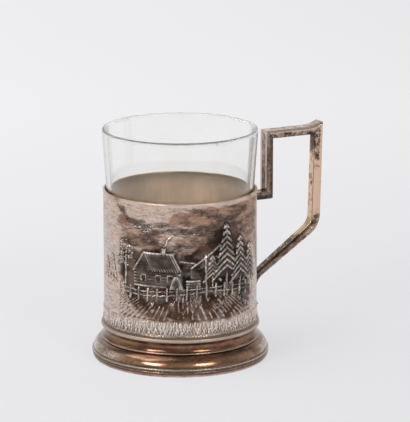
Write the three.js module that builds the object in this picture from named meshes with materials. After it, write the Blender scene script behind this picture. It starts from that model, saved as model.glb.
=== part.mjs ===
// A tea glass in a silver holder with a moulded foot and an angular strap handle.
// Millimetres, +Z up. The handle points along +X, and the foot stands on z = 0.
import * as THREE from 'three';

// Tea glass: a plain tumbler that widens towards its rim
const glassHeight = 93.1;
const glassRimRadius = 36.65;
const glassBaseRadius = 30.2;
const glassWall = 2.0;
const glassBaseThickness = 7.0;
const glassBaseRound = 1.6;
const glassInnerRound = 5.0;

// Holder wall, its rim wire and the floor that the glass stands on
const glassClearance = 0.53;
const wallThickness = 0.8;
const wallHeight = 64.1;
const rimWireHeight = 1.5;
const rimWireProud = 0.25;
const floorThickness = 1.0;

// Foot, from the table upwards: base ring, milled wire, bell, ridge and neck
const baseRingHeight = 2.3;
const milledWireHeight = 1.5;
const bellHeight = 5.5;
const ridgeHeight = 1.1;
const neckHeight = 4.5;
const footShellThickness = 0.9;
const ledgeWidth = 7.5;
const landWidth = 2.4;

// How far each part of the foot stands out beyond the wall
const baseRingProud = 5.6;
const baseRingToe = 0.5;
const milledWireProud = 5.8;
const bellProud = 5.2;
const bellRound = 7.0;
const bellStartTilt = 6;
const bellEndTilt = 60;
const ridgeProud = 1.4;
const ridgeEndTilt = 60;
const neckProud = 0.3;
const neckBendHeight = 1.2;
const neckTopProud = 0.7;
const neckLipHeight = 0.8;
const beadHeight = 2.5;
const beadProud = 1.4;
const beadFlat = 0.3;

// Handle bar: a wide outer face with a small lip, tapering to a narrow finger side
const barThickness = 4.0;
const barOuterWidth = 6.8;
const barLipWidth = 7.8;
const barLipDepth = 1.0;
const barFingerWidth = 4.4;

// Handle outline: distances out from the wall, and heights from the holder's rim or bead
const innerPostOut = 8.3;
const gripOut = 38.6;
const gripLean = 1.1;
const armBelowRim = 6.1;
const topBarAboveRim = 23.0;
const thumbRise = 2.0;
const thumbLength = 8.0;
const elbowBelowRim = 19.7;
const elbowRadius = 12.0;
const tailThickness = 3.1;
const tailLipWidth = 5.8;
const tailBendRadius = 7.0;
const tailTopAboveBead = 10.2;
const tailTipAboveBead = 1.8;
const tailFlare = 1.3;
const tailFlareHeight = 3.5;

// Relief on the wall, a country scene. Places in it are mm round the wall from the scene's middle, and mm up
// from the table; a form rises from its outline to its full height over the width of its edge.
const sceneTurn = -117;
const reliefCell = 1.4;
const reliefColumns = 56;
const reliefRows = 34;
const reliefLeft = -33.6;
const reliefBottom = 24.6;
const hillForm = { rise: 0.22, edge: 2.0 };
const hillOutline = [
  [-31, 40], [-24, 53], [-14, 51.5], [-4, 54.5], [8, 52.5], [18, 55.5], [30, 53], [43, 49], [43, 40],
];
const fieldForm = { rise: 0.3, edge: 2.4 };
const fieldOutline = [
  [-31.5, 26.5], [-30, 37], [-22, 40.5], [0, 41.5], [22, 41], [40, 39.5], [43.5, 35], [42, 27],
  [22, 25.6], [-12, 25.6],
];
const birchCrown = { at: -27, middle: 55.5, halfWidth: 4.4, halfHeight: 7.5, rise: 0.3, edge: 1.8 };
const firForm = { rise: 0.6, edge: 1.8, skirt: 0.16 };
const firs = [
  { at: 15.5, base: 43, height: 13, reach: 4.2 },
  { at: 23, base: 40, height: 29, reach: 7 },
  { at: 39, base: 40, height: 18, reach: 5.4 },
  { at: 31.5, base: 38.6, height: 24, reach: 6.4 },
];
const cottage = { left: -21, base: 41, gable: 8, side: 12.5, wall: 8.7, rise: 0.55, edge: 0.9 };
const roof = { height: 7.6, overhang: 1.4, drop: 0.7, ridgeInset: 2.4, rise: 0.8, edge: 0.9 };
const chimney = { left: -8.4, width: 2.2, sunk: 2.5, above: 2.6, rise: 0.8, edge: 0.6 };
const well = { left: 3.2, width: 6.4, base: 40, height: 5, rise: 0.55, edge: 0.8 };
const haystack = { at: -1.6, base: 40, halfWidth: 3.8, height: 7, rise: 0.8, edge: 1.6 };

// The seam of solder between pieces that meet on a round or slanting face
const solderGap = 0.3;

// Smoothness of round stretches
const turnSegments = 64;
const ovalPoints = 16;
const curveSteps = 4;
const elbowSteps = 9;
const slantSteps = 6;
const thumbSteps = 5;

// Heights that follow from the stack of the foot
const milledWireBottom = baseRingHeight;
const bellBottom = milledWireBottom + milledWireHeight;
const ridgeBottom = bellBottom + bellHeight;
const neckBottom = ridgeBottom + ridgeHeight;
const footTop = neckBottom + neckHeight;
const floorTop = footTop + floorThickness;
const wallTop = footTop + wallHeight;
const rimTop = wallTop + rimWireHeight;
const beadTop = footTop + beadHeight;
const glassTop = floorTop + glassHeight;

// Radii that follow from the glass, which fits the holder at its rim
const glassTaper = (glassRimRadius - glassBaseRadius) / glassHeight;
const wallInnerRadius = glassBaseRadius + glassTaper * (rimTop - floorTop) + glassClearance;
const wallRadius = wallInnerRadius + wallThickness;
const neckInnerRadius = wallRadius + neckProud - footShellThickness;
const milledWireRadius = wallRadius + milledWireProud;
const landInnerRadius = wallRadius + bellProud - landWidth;

const silverWall = new THREE.MeshStandardMaterial({ color: 0xa99c94, metalness: 0.9, roughness: 0.42 });
const silverFoot = new THREE.MeshStandardMaterial({ color: 0x8f7768, metalness: 0.95, roughness: 0.24 });
const silverWire = new THREE.MeshStandardMaterial({ color: 0xb9aea6, metalness: 0.95, roughness: 0.3 });
const silverHandle = new THREE.MeshStandardMaterial({ color: 0x9c8576, metalness: 0.95, roughness: 0.28 });
const clearGlass = new THREE.MeshStandardMaterial({
  color: 0xe4ebe6, metalness: 0, roughness: 0.04, transparent: true, opacity: 0.35,
});

// Turns a profile of radius and height about the cup's axis
function turned(name, profile, material) {
  const points = [];
  for (const point of profile.getPoints(curveSteps)) {
    const last = points[points.length - 1];
    if (!last || last.distanceTo(point) > 1e-6) points.push(point);
  }
  const geometry = new THREE.LatheGeometry(points, turnSegments);
  geometry.rotateX(Math.PI / 2);
  const mesh = new THREE.Mesh(geometry, material);
  mesh.name = name;
  return mesh;
}

// A closed body from its points and the triangles between them
function solid(name, positions, indices, material) {
  const geometry = new THREE.BufferGeometry();
  geometry.setAttribute('position', new THREE.Float32BufferAttribute(positions, 3));
  geometry.setIndex(indices);
  geometry.computeVertexNormals();
  const mesh = new THREE.Mesh(geometry, material);
  mesh.name = name;
  return mesh;
}

function profileFrom(radius, height) {
  const profile = new THREE.Path();
  profile.moveTo(radius, height);
  return profile;
}

function teaGlass() {
  const outerAt = (height) => glassBaseRadius + glassTaper * (height - floorTop);
  const innerFloor = floorTop + glassBaseThickness;
  const lip = glassWall / 2;
  const roundTop = floorTop + glassBaseRound;
  const innerRoundTop = innerFloor + glassInnerRound;
  const innerCorner = outerAt(innerFloor) - glassWall;
  const profile = profileFrom(0, floorTop);
  profile.lineTo(glassBaseRadius - glassBaseRound, floorTop);
  profile.quadraticCurveTo(glassBaseRadius, floorTop, outerAt(roundTop), roundTop);
  profile.lineTo(outerAt(glassTop - lip), glassTop - lip);
  profile.absarc(outerAt(glassTop - lip) - lip, glassTop - lip, lip, 0, Math.PI, false);
  profile.lineTo(outerAt(innerRoundTop) - glassWall, innerRoundTop);
  profile.quadraticCurveTo(innerCorner, innerFloor, innerCorner - glassInnerRound, innerFloor);
  profile.lineTo(0, innerFloor);
  return turned('tea_glass', profile, clearGlass);
}

// Part of an oval about [at, up], as outline points
function oval(at, up, halfWidth, halfHeight, turn) {
  const points = [];
  for (let step = 0; step <= ovalPoints; step += 1) {
    const angle = turn * step / ovalPoints;
    points.push([at + halfWidth * Math.cos(angle), up + halfHeight * Math.sin(angle)]);
  }
  return points;
}

function box(left, bottom, width, height) {
  return [[left, bottom], [left + width, bottom], [left + width, bottom + height], [left, bottom + height]];
}

// The forms of the relief; each one covers those before it
function reliefForms() {
  const eaves = cottage.base + cottage.wall;
  const corner = cottage.left + cottage.gable;
  const end = corner + cottage.side;
  const ridge = eaves + roof.height;
  const peak = [cottage.left + cottage.gable / 2, ridge];
  const farPeak = [end - roof.ridgeInset, ridge];
  const roofEdge = eaves - roof.drop;
  const chimneyHeight = chimney.sunk + chimney.above;
  const wallOutline = [[cottage.left, cottage.base], [end, cottage.base], [end, eaves], [corner, eaves]];
  const crown = birchCrown;
  return [
    { ...hillForm, outline: hillOutline },
    { ...fieldForm, outline: fieldOutline },
    { ...crown, outline: oval(crown.at, crown.middle, crown.halfWidth, crown.halfHeight, 2 * Math.PI) },
    ...firs.map(({ at, base, height, reach }) => {
      const skirt = base + height * firForm.skirt;
      return { ...firForm, outline: [[at - reach, skirt], [at + reach, skirt], [at, base + height]] };
    }),
    { ...cottage, outline: [...wallOutline, peak, [cottage.left, eaves]] },
    { ...roof, outline: [[corner, roofEdge], [end + roof.overhang, roofEdge], farPeak, peak] },
    { ...chimney, outline: box(chimney.left, ridge - chimney.sunk, chimney.width, chimneyHeight) },
    { ...well, outline: box(well.left, well.base, well.width, well.height) },
    { ...haystack, outline: oval(haystack.at, haystack.base, haystack.halfWidth, haystack.height, Math.PI) },
  ];
}

// How far a place lies inside an outline, below 0 outside
function depthInside(outline, round, up) {
  let nearest = Infinity;
  let inside = false;
  outline.forEach(([startRound, startUp], index) => {
    const [endRound, endUp] = outline[(index + 1) % outline.length];
    const runRound = endRound - startRound;
    const runUp = endUp - startUp;
    const length = runRound * runRound + runUp * runUp;
    if (length === 0) return;
    const along = ((round - startRound) * runRound + (up - startUp) * runUp) / length;
    const share = THREE.MathUtils.clamp(along, 0, 1);
    const offRound = round - startRound - share * runRound;
    const offUp = up - startUp - share * runUp;
    nearest = Math.min(nearest, Math.hypot(offRound, offUp));
    const crosses = (startUp > up) !== (endUp > up);
    if (crosses && round < startRound + (up - startUp) * runRound / runUp) inside = !inside;
  });
  return inside ? nearest : -nearest;
}

function riseAt(forms, round, up) {
  let rise = 0;
  for (const form of forms) {
    const depth = depthInside(form.outline, round, up);
    if (depth > 0) rise = form.rise * Math.sqrt(1 - Math.max(1 - depth / form.edge, 0) ** 2);
  }
  return rise;
}

// A tube whose outside carries the relief: close columns with many rows there, plain ones round the rest
function holderWall() {
  const forms = reliefForms();
  const positions = [];
  const place = (radius, angle, up) => {
    positions.push(radius * Math.cos(angle), radius * Math.sin(angle), up);
    return positions.length / 3 - 1;
  };
  const upright = (angle, round) => {
    const outside = [place(wallRadius, angle, footTop)];
    if (round !== undefined) {
      for (let row = 0; row <= reliefRows; row += 1) {
        const up = reliefBottom + row * reliefCell;
        outside.push(place(wallRadius + riseAt(forms, round, up), angle, up));
      }
    }
    outside.push(place(wallRadius, angle, wallTop));
    const inside = [place(wallInnerRadius, angle, wallTop), place(wallInnerRadius, angle, footTop)];
    return { outside, inside };
  };
  const start = THREE.MathUtils.degToRad(sceneTurn) + reliefLeft / wallRadius;
  const reliefTurn = reliefColumns * reliefCell / wallRadius;
  const columns = [];
  for (let column = 0; column <= reliefColumns; column += 1) {
    const round = reliefLeft + column * reliefCell;
    columns.push(upright(start + column * reliefCell / wallRadius, round));
  }
  const plainTurn = 2 * Math.PI - reliefTurn;
  const plainColumns = Math.ceil(plainTurn * turnSegments / (2 * Math.PI));
  for (let column = 1; column < plainColumns; column += 1) {
    columns.push(upright(start + reliefTurn + plainTurn * column / plainColumns));
  }
  const indices = [];
  const quad = (one, two, three, four) => indices.push(one, two, four, two, three, four);
  columns.forEach((left, index) => {
    const right = columns[(index + 1) % columns.length];
    const [leftLast, rightLast] = [left.outside.length - 1, right.outside.length - 1];
    if (leftLast === rightLast) {
      for (let row = 0; row < leftLast; row += 1) {
        quad(left.outside[row], right.outside[row], right.outside[row + 1], left.outside[row + 1]);
      }
    } else {
      for (let row = 0; row < leftLast; row += 1) {
        indices.push(left.outside[row], right.outside[0], left.outside[row + 1]);
      }
      for (let row = 0; row < rightLast; row += 1) {
        indices.push(right.outside[row], right.outside[row + 1], left.outside[leftLast]);
      }
    }
    quad(left.outside[leftLast], right.outside[rightLast], right.inside[0], left.inside[0]);
    quad(left.inside[0], right.inside[0], right.inside[1], left.inside[1]);
    quad(left.inside[1], right.inside[1], right.outside[0], left.outside[0]);
  });
  return solid('holder_wall', positions, indices, silverWall);
}

function rimWire() {
  const crown = rimWireHeight / 2;
  const outer = wallRadius + rimWireProud;
  const profile = profileFrom(wallInnerRadius, wallTop);
  profile.lineTo(wallRadius, wallTop);
  profile.quadraticCurveTo(outer, wallTop, outer, wallTop + crown);
  profile.quadraticCurveTo(outer, rimTop, wallRadius, rimTop);
  profile.lineTo(wallInnerRadius, rimTop);
  profile.lineTo(wallInnerRadius, wallTop);
  return turned('rim_wire', profile, silverWire);
}

function baseBead() {
  const inner = wallRadius + solderGap;
  const outer = wallRadius + beadProud;
  const middle = footTop + beadHeight / 2;
  const profile = profileFrom(inner, footTop);
  profile.lineTo(inner + beadFlat, footTop);
  profile.quadraticCurveTo(outer, footTop, outer, middle);
  profile.quadraticCurveTo(outer, beadTop, inner + beadFlat, beadTop);
  profile.lineTo(inner, beadTop);
  profile.lineTo(inner, footTop);
  return turned('base_bead', profile, silverWire);
}

function floorDisc() {
  const edge = wallInnerRadius - solderGap;
  const profile = profileFrom(0, footTop);
  profile.lineTo(edge, footTop);
  profile.lineTo(edge, floorTop);
  profile.lineTo(0, floorTop);
  return turned('floor_disc', profile, silverWall);
}

// One spun shell: bell, ridge and hollowed neck, open below, with a ledge for the floor on top
function footShell() {
  const bell = wallRadius + bellProud;
  const startTilt = THREE.MathUtils.degToRad(bellStartTilt);
  const endTilt = THREE.MathUtils.degToRad(bellEndTilt);
  const bellMiddle = bell - bellRound * Math.cos(startTilt);
  const bellLevel = bellBottom - bellRound * Math.sin(startTilt);
  const innerRound = bellRound - footShellThickness;
  const ridgeRound = ridgeHeight / 2;
  const ridgeMiddle = wallRadius + ridgeProud - ridgeRound;
  const neck = wallRadius + neckProud;
  const ledgeBottom = footTop - footShellThickness;
  const profile = profileFrom(bell - footShellThickness, bellBottom);
  profile.lineTo(bell, bellBottom);
  profile.absarc(bellMiddle, bellLevel, bellRound, startTilt, endTilt, false);
  profile.lineTo(ridgeMiddle, ridgeBottom);
  const ridgeEnd = THREE.MathUtils.degToRad(ridgeEndTilt);
  profile.absarc(ridgeMiddle, ridgeBottom + ridgeRound, ridgeRound, -Math.PI / 2, ridgeEnd, false);
  profile.quadraticCurveTo(neck, neckBottom + neckBendHeight, neck, footTop - neckLipHeight);
  profile.quadraticCurveTo(neck, footTop, wallRadius + neckTopProud, footTop);
  profile.lineTo(neckInnerRadius - ledgeWidth, footTop);
  profile.lineTo(neckInnerRadius - ledgeWidth, ledgeBottom);
  profile.lineTo(neckInnerRadius, ledgeBottom);
  profile.lineTo(neckInnerRadius, ridgeBottom);
  profile.lineTo(bellMiddle + innerRound * Math.cos(endTilt), bellLevel + innerRound * Math.sin(endTilt));
  profile.lineTo(bell - footShellThickness, bellBottom);
  return turned('foot_shell', profile, silverFoot);
}

function milledWire() {
  const crown = milledWireHeight / 2;
  const middle = milledWireBottom + crown;
  const profile = profileFrom(landInnerRadius, milledWireBottom);
  profile.lineTo(milledWireRadius - crown, milledWireBottom);
  profile.absarc(milledWireRadius - crown, middle, crown, -Math.PI / 2, Math.PI / 2, false);
  profile.lineTo(landInnerRadius, bellBottom);
  profile.lineTo(landInnerRadius, milledWireBottom);
  return turned('milled_wire', profile, silverWire);
}

function footBaseRing() {
  const outer = wallRadius + baseRingProud;
  const profile = profileFrom(landInnerRadius, 0);
  profile.lineTo(outer - baseRingToe, 0);
  profile.quadraticCurveTo(outer, baseRingToe, outer, baseRingHeight);
  profile.lineTo(landInnerRadius, baseRingHeight);
  profile.lineTo(landInnerRadius, 0);
  return turned('foot_base_ring', profile, silverFoot);
}

// A station is a cut across the bar: its outer point, its finger point and its share of the full width
function station(outer, finger, widthShare = 1) {
  return { outer, finger, widthShare };
}

// Lofts the bar's six-sided section through its stations; points are distance out and height
function bar(name, stations) {
  const lipShare = barLipDepth / barThickness;
  const section = [
    [0, barOuterWidth / 2],
    [lipShare, barLipWidth / 2],
    [1, barFingerWidth / 2],
    [1, -barFingerWidth / 2],
    [lipShare, -barLipWidth / 2],
    [0, -barOuterWidth / 2],
  ];
  const positions = [];
  for (const { outer, finger, widthShare } of stations) {
    for (const [depth, across] of section) {
      const out = outer[0] + (finger[0] - outer[0]) * depth;
      const up = outer[1] + (finger[1] - outer[1]) * depth;
      positions.push(out, across * widthShare, up);
    }
  }
  const sides = section.length;
  const indices = [];
  for (let cut = 0; cut < stations.length - 1; cut += 1) {
    for (let side = 0; side < sides; side += 1) {
      const near = cut * sides + side;
      const nearNext = cut * sides + (side + 1) % sides;
      indices.push(near, near + sides, nearNext);
      indices.push(nearNext, near + sides, nearNext + sides);
    }
  }
  const lastCut = (stations.length - 1) * sides;
  for (let side = 1; side < sides - 1; side += 1) {
    indices.push(0, side, side + 1);
    indices.push(lastCut, lastCut + side + 1, lastCut + side);
  }
  return solid(name, positions, indices, silverHandle);
}

// Corners of the handle, shared by the bars that meet there
const wallSeat = wallRadius + solderGap;
const armTop = rimTop - armBelowRim;
const armBottom = armTop - barThickness;
const postCupSide = wallRadius + innerPostOut;
const postFingerSide = postCupSide + barThickness;
const topBarTop = rimTop + topBarAboveRim;
const topBarBottom = topBarTop - barThickness;
const gripOuterSide = wallRadius + gripOut;
const gripFingerSide = gripOuterSide - barThickness;
const thumbTop = topBarTop + thumbRise;
const mitreGap = solderGap / Math.SQRT2;

function handleUpperArm() {
  return bar('handle_upper_arm', [
    station([wallSeat, armTop], [wallSeat, armBottom]),
    station([postCupSide - mitreGap, armTop], [postFingerSide - mitreGap, armBottom]),
  ]);
}

function handleInnerPost() {
  return bar('handle_inner_post', [
    station([postCupSide, armTop + mitreGap], [postFingerSide, armBottom + mitreGap]),
    station([postCupSide, topBarTop - mitreGap], [postFingerSide, topBarBottom - mitreGap]),
  ]);
}

// The far end of the top bar sweeps up into a thumb rest
function handleTopBar() {
  const sweepStart = gripOuterSide - thumbLength;
  const fingerRun = gripFingerSide - sweepStart;
  const stations = [station([postCupSide + mitreGap, topBarTop], [postFingerSide + mitreGap, topBarBottom])];
  for (let step = 0; step <= thumbSteps; step += 1) {
    const share = step / thumbSteps;
    const outer = [sweepStart + thumbLength * share - mitreGap, topBarTop + thumbRise * share * share];
    stations.push(station(outer, [sweepStart + fingerRun * share - mitreGap, topBarBottom]));
  }
  return bar('handle_top_bar', stations);
}

// One bent bar: the grip post, the elbow, the slanting run and the tail that lies on the wall
function handleGripBar() {
  const elbowHeight = rimTop - elbowBelowRim;
  const elbowOut = gripOuterSide - gripLean - elbowRadius;
  const tailOut = wallSeat + tailThickness;
  const bendOut = tailOut + tailBendRadius;
  const bendHeight = beadTop + tailTopAboveBead;
  const tipHeight = beadTop + tailTipAboveBead;
  const rise = elbowHeight - bendHeight;
  const run = elbowOut - bendOut;
  const slant = Math.atan2(rise, run) - Math.asin((elbowRadius + tailBendRadius) / Math.hypot(rise, run));
  const turn = Math.PI / 2 - slant;
  const slantLength = Math.sqrt(rise * rise + run * run - (elbowRadius + tailBendRadius) ** 2);
  const elbowLength = elbowRadius * turn;
  const tailShare = tailLipWidth / barLipWidth;
  const fingerBend = tailBendRadius + tailThickness;
  // The bar thins evenly from the elbow to the tail
  const left = (along) => 1 - along / (elbowLength + slantLength);
  const thicknessAt = (along) => tailThickness + (barThickness - tailThickness) * left(along);
  const widthAt = (along) => tailShare + (1 - tailShare) * left(along);
  const onElbow = (radius, angle) => [
    elbowOut + radius * Math.cos(angle),
    elbowHeight - radius * Math.sin(angle),
  ];
  const onBend = (radius, angle) => [
    bendOut - radius * Math.cos(angle),
    bendHeight + radius * Math.sin(angle),
  ];
  const stations = [
    station([gripOuterSide, thumbTop - mitreGap], [gripFingerSide, topBarBottom - mitreGap]),
  ];
  for (let step = 0; step <= elbowSteps; step += 1) {
    const angle = turn * step / elbowSteps;
    const along = elbowRadius * angle;
    const fingerRadius = elbowRadius - thicknessAt(along);
    stations.push(station(onElbow(elbowRadius, angle), onElbow(fingerRadius, angle), widthAt(along)));
  }
  const slantStart = onElbow(elbowRadius, turn);
  for (let step = 1; step < slantSteps; step += 1) {
    const down = slantLength * step / slantSteps;
    const thickness = thicknessAt(elbowLength + down);
    const outer = [slantStart[0] - down * Math.cos(slant), slantStart[1] - down * Math.sin(slant)];
    const finger = [outer[0] - thickness * Math.sin(slant), outer[1] + thickness * Math.cos(slant)];
    stations.push(station(outer, finger, widthAt(elbowLength + down)));
  }
  for (let step = elbowSteps; step >= 0; step -= 1) {
    const angle = turn * step / elbowSteps;
    stations.push(station(onBend(tailBendRadius, angle), onBend(fingerBend, angle), tailShare));
  }
  const flareTop = tipHeight + tailFlareHeight;
  stations.push(station([tailOut, flareTop], [wallSeat, flareTop], tailShare));
  stations.push(station([tailOut + tailFlare, tipHeight], [wallSeat, tipHeight], tailShare));
  return bar('handle_grip_bar', stations);
}

const holder = new THREE.Group();
holder.add(holderWall(), rimWire(), baseBead(), floorDisc());
holder.add(footShell(), milledWire(), footBaseRing());
holder.add(handleUpperArm(), handleInnerPost(), handleTopBar(), handleGripBar());

const teaGlassHolder = new THREE.Group();
teaGlassHolder.add(holder, teaGlass());

// The origin is under the middle of the whole object, between the foot's edge and the grip
teaGlassHolder.position.x = (milledWireRadius - gripOuterSide) / 2;

export default teaGlassHolder;
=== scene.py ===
import math

import bmesh
import bpy
import numpy as np
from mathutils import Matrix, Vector


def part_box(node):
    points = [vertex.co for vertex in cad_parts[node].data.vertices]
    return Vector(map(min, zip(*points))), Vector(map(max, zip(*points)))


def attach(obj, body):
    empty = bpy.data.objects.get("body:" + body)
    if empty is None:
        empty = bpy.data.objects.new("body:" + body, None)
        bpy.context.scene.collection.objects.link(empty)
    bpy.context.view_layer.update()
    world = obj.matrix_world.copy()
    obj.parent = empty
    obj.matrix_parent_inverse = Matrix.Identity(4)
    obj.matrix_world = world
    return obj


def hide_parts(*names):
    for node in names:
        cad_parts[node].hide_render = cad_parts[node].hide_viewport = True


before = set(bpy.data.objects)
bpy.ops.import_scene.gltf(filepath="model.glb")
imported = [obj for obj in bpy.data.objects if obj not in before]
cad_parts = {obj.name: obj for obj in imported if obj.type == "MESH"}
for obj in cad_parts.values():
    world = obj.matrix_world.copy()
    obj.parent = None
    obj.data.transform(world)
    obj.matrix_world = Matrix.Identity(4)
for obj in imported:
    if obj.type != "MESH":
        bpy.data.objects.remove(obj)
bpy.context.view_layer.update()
scene = bpy.context.scene
mm = 0.001  # the dictionaries below are in millimetres and degrees, the meshes in metres


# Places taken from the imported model

def roundNode(name):  # outer radius, bottom and top of a round piece, in mm
    low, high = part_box(name)
    return (high.x - low.x) / 2 / mm, low.z / mm, high.z / mm


rimProud = 0.25  # the rim wire stands out this far beyond the wall
rimLow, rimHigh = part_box("rim_wire")
axisX = (rimLow.x + rimHigh.x) / 2 / mm  # the cup's axis; the handle points along +X
wallRadius = roundNode("rim_wire")[0] - rimProud
wallBottom, wallTop = roundNode("holder_wall")[1:]
photoTurn = 27.0  # the camera stands this far round from straight ahead, in degrees
frontAngle = math.radians(-90 - photoTurn)  # the side of the wall that faces the camera


# Node helpers, for shapes and finishes alike

class Nodes:  # a node tree, and short ways to add to it
    def __init__(self, tree):
        self.tree = tree

    def put(self, kind, feeds=None, **settings):
        node = self.tree.nodes.new(kind)
        for key, value in settings.items():
            setattr(node, key, value)
        for key, value in (feeds or {}).items():
            if isinstance(value, bpy.types.NodeSocket):
                self.tree.links.new(value, node.inputs[key])
            else:
                node.inputs[key].default_value = value
        return node

    def calc(self, operation, first, second=0.0):
        return self.put("ShaderNodeMath", {0: first, 1: second}, operation=operation).outputs[0]

    def plus(self, first, second):
        return self.calc("ADD", first, second)

    def minus(self, first, second):
        return self.calc("SUBTRACT", first, second)

    def times(self, first, second):
        return self.calc("MULTIPLY", first, second)

    def over(self, first, second):
        return self.calc("DIVIDE", first, second)

    def held(self, value, low, high):  # kept between two limits
        return self.calc("MINIMUM", self.calc("MAXIMUM", value, low), high)

    def spread(self, value, low, high, start=0.0, end=1.0):  # goes smoothly from start to end
        feeds = {"Value": value, "From Min": low, "From Max": high, "To Min": start, "To Max": end}
        return self.put("ShaderNodeMapRange", feeds, interpolation_type="SMOOTHSTEP").outputs[0]

    def mixed(self, share, first, second):
        return self.put("ShaderNodeMix", {0: share, 2: first, 3: second}, data_type="FLOAT").outputs[0]

    def along(self, vector, direction):
        feeds = {0: vector, 1: direction}
        return self.put("ShaderNodeVectorMath", feeds, operation="DOT_PRODUCT").outputs["Value"]

    def parts(self, vector):
        return self.put("ShaderNodeSeparateXYZ", {0: vector}).outputs

    def joined(self, x, y, z):
        return self.put("ShaderNodeCombineXYZ", {0: x, 1: y, 2: z}).outputs[0]


class ShapeTree(Nodes):  # makes one plain mesh round the cup's axis, with its finish on
    def __init__(self, name, inputs):
        super().__init__(bpy.data.node_groups.new(name, "GeometryNodeTree"))
        for label, kind in inputs.items():
            self.tree.interface.new_socket(label, in_out="INPUT", socket_type="NodeSocket" + kind)
        self.tree.interface.new_socket("Piece", in_out="OUTPUT", socket_type="NodeSocketGeometry")
        self.given = self.put("NodeGroupInput").outputs

    def split(self, count):  # which run of so many points each one is in, and its place there
        index = self.put("GeometryNodeInputIndex").outputs[0]
        run = self.calc("FLOOR", self.over(self.plus(index, 0.5), count))
        return run, self.minus(index, self.times(run, count))

    def onCircle(self, radius, turn, height):
        across = self.plus(self.times(radius, self.calc("COSINE", turn)), self.given["Axis X"])
        return self.joined(across, self.times(radius, self.calc("SINE", turn)), height)

    def done(self, geometry):
        solid = self.put("GeometryNodeRealizeInstances", {"Geometry": geometry}).outputs[0]
        feeds = {"Geometry": solid, "Material": self.given["Finish"]}
        self.put("NodeGroupOutput", {"Piece": self.put("GeometryNodeSetMaterial", feeds).outputs[0]})
        return self.tree


def linked(name, mesh):
    piece = bpy.data.objects.new(name, mesh)
    scene.collection.objects.link(piece)
    return piece


def makeWith(tree, name, base, values):  # runs a shape tree once and keeps the plain mesh
    piece = linked(name, base)
    modifier = piece.modifiers.new(name, "NODES")
    modifier.node_group = tree
    for item in tree.interface.items_tree:
        if item.in_out == "INPUT" and item.name in values:
            modifier[item.identifier] = values[item.name]
    graph = bpy.context.evaluated_depsgraph_get()
    mesh = bpy.data.meshes.new_from_object(piece.evaluated_get(graph), depsgraph=graph)
    piece.modifiers.remove(modifier)
    piece.data = mesh
    mesh.name = name
    return piece


def closeUp(mesh):  # merges doubles and turns faces outwards
    shape = bmesh.new()
    shape.from_mesh(mesh)
    bmesh.ops.remove_doubles(shape, verts=shape.verts, dist=1e-7)
    bmesh.ops.recalc_face_normals(shape, faces=shape.faces)
    shape.to_mesh(mesh)
    shape.free()


def setAttribute(mesh, name, values):
    layer = mesh.attributes.new(name, "FLOAT", "POINT")
    layer.data.foreach_set("value", np.asarray(values, np.float32).ravel())


def markEdges(mesh, sharpRadius, rounds=2):  # rubbed edges and dirty corners, from how the surface bends
    count = len(mesh.vertices)
    places = np.zeros(count * 3)
    mesh.vertices.foreach_get("co", places)
    normals = np.zeros(count * 3)
    mesh.vertices.foreach_get("normal", normals)
    ends = np.zeros(len(mesh.edges) * 2, int)
    mesh.edges.foreach_get("vertices", ends)
    places, normals, ends = places.reshape(-1, 3), normals.reshape(-1, 3), ends.reshape(-1, 2)
    one, two = ends[:, 0], ends[:, 1]
    way = places[two] - places[one]
    length = (way ** 2).sum(1) + 1e-12
    share = np.maximum(np.bincount(one, minlength=count) + np.bincount(two, minlength=count), 1)
    bend = np.bincount(one, -(way * normals[one]).sum(1) / length, count)
    bend = bend + np.bincount(two, (way * normals[two]).sum(1) / length, count)
    bend = bend / share * 2 * sharpRadius * mm
    for _ in range(rounds):
        around = np.bincount(one, bend[two], count) + np.bincount(two, bend[one], count)
        bend = 0.5 * bend + 0.5 * around / share
    setAttribute(mesh, "rubbed", np.clip(bend, 0, 1))
    setAttribute(mesh, "grime", np.clip(-bend, 0, 1))


# Finishes. The dictionary of a finish holds tones (three numbers), noise (scale, detail, roughness,
# distortion, factor for heights), patterns (noise, then from, to, least and most share) and stretches
# (from, to, least and most share), which are in mm where they are heights or distances.

def srgb(red, green, blue):
    def lit(part):
        part = part / 255
        return part / 12.92 if part <= 0.04045 else ((part + 0.055) / 1.055) ** 2.4
    return (lit(red), lit(green), lit(blue), 1.0)


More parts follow.
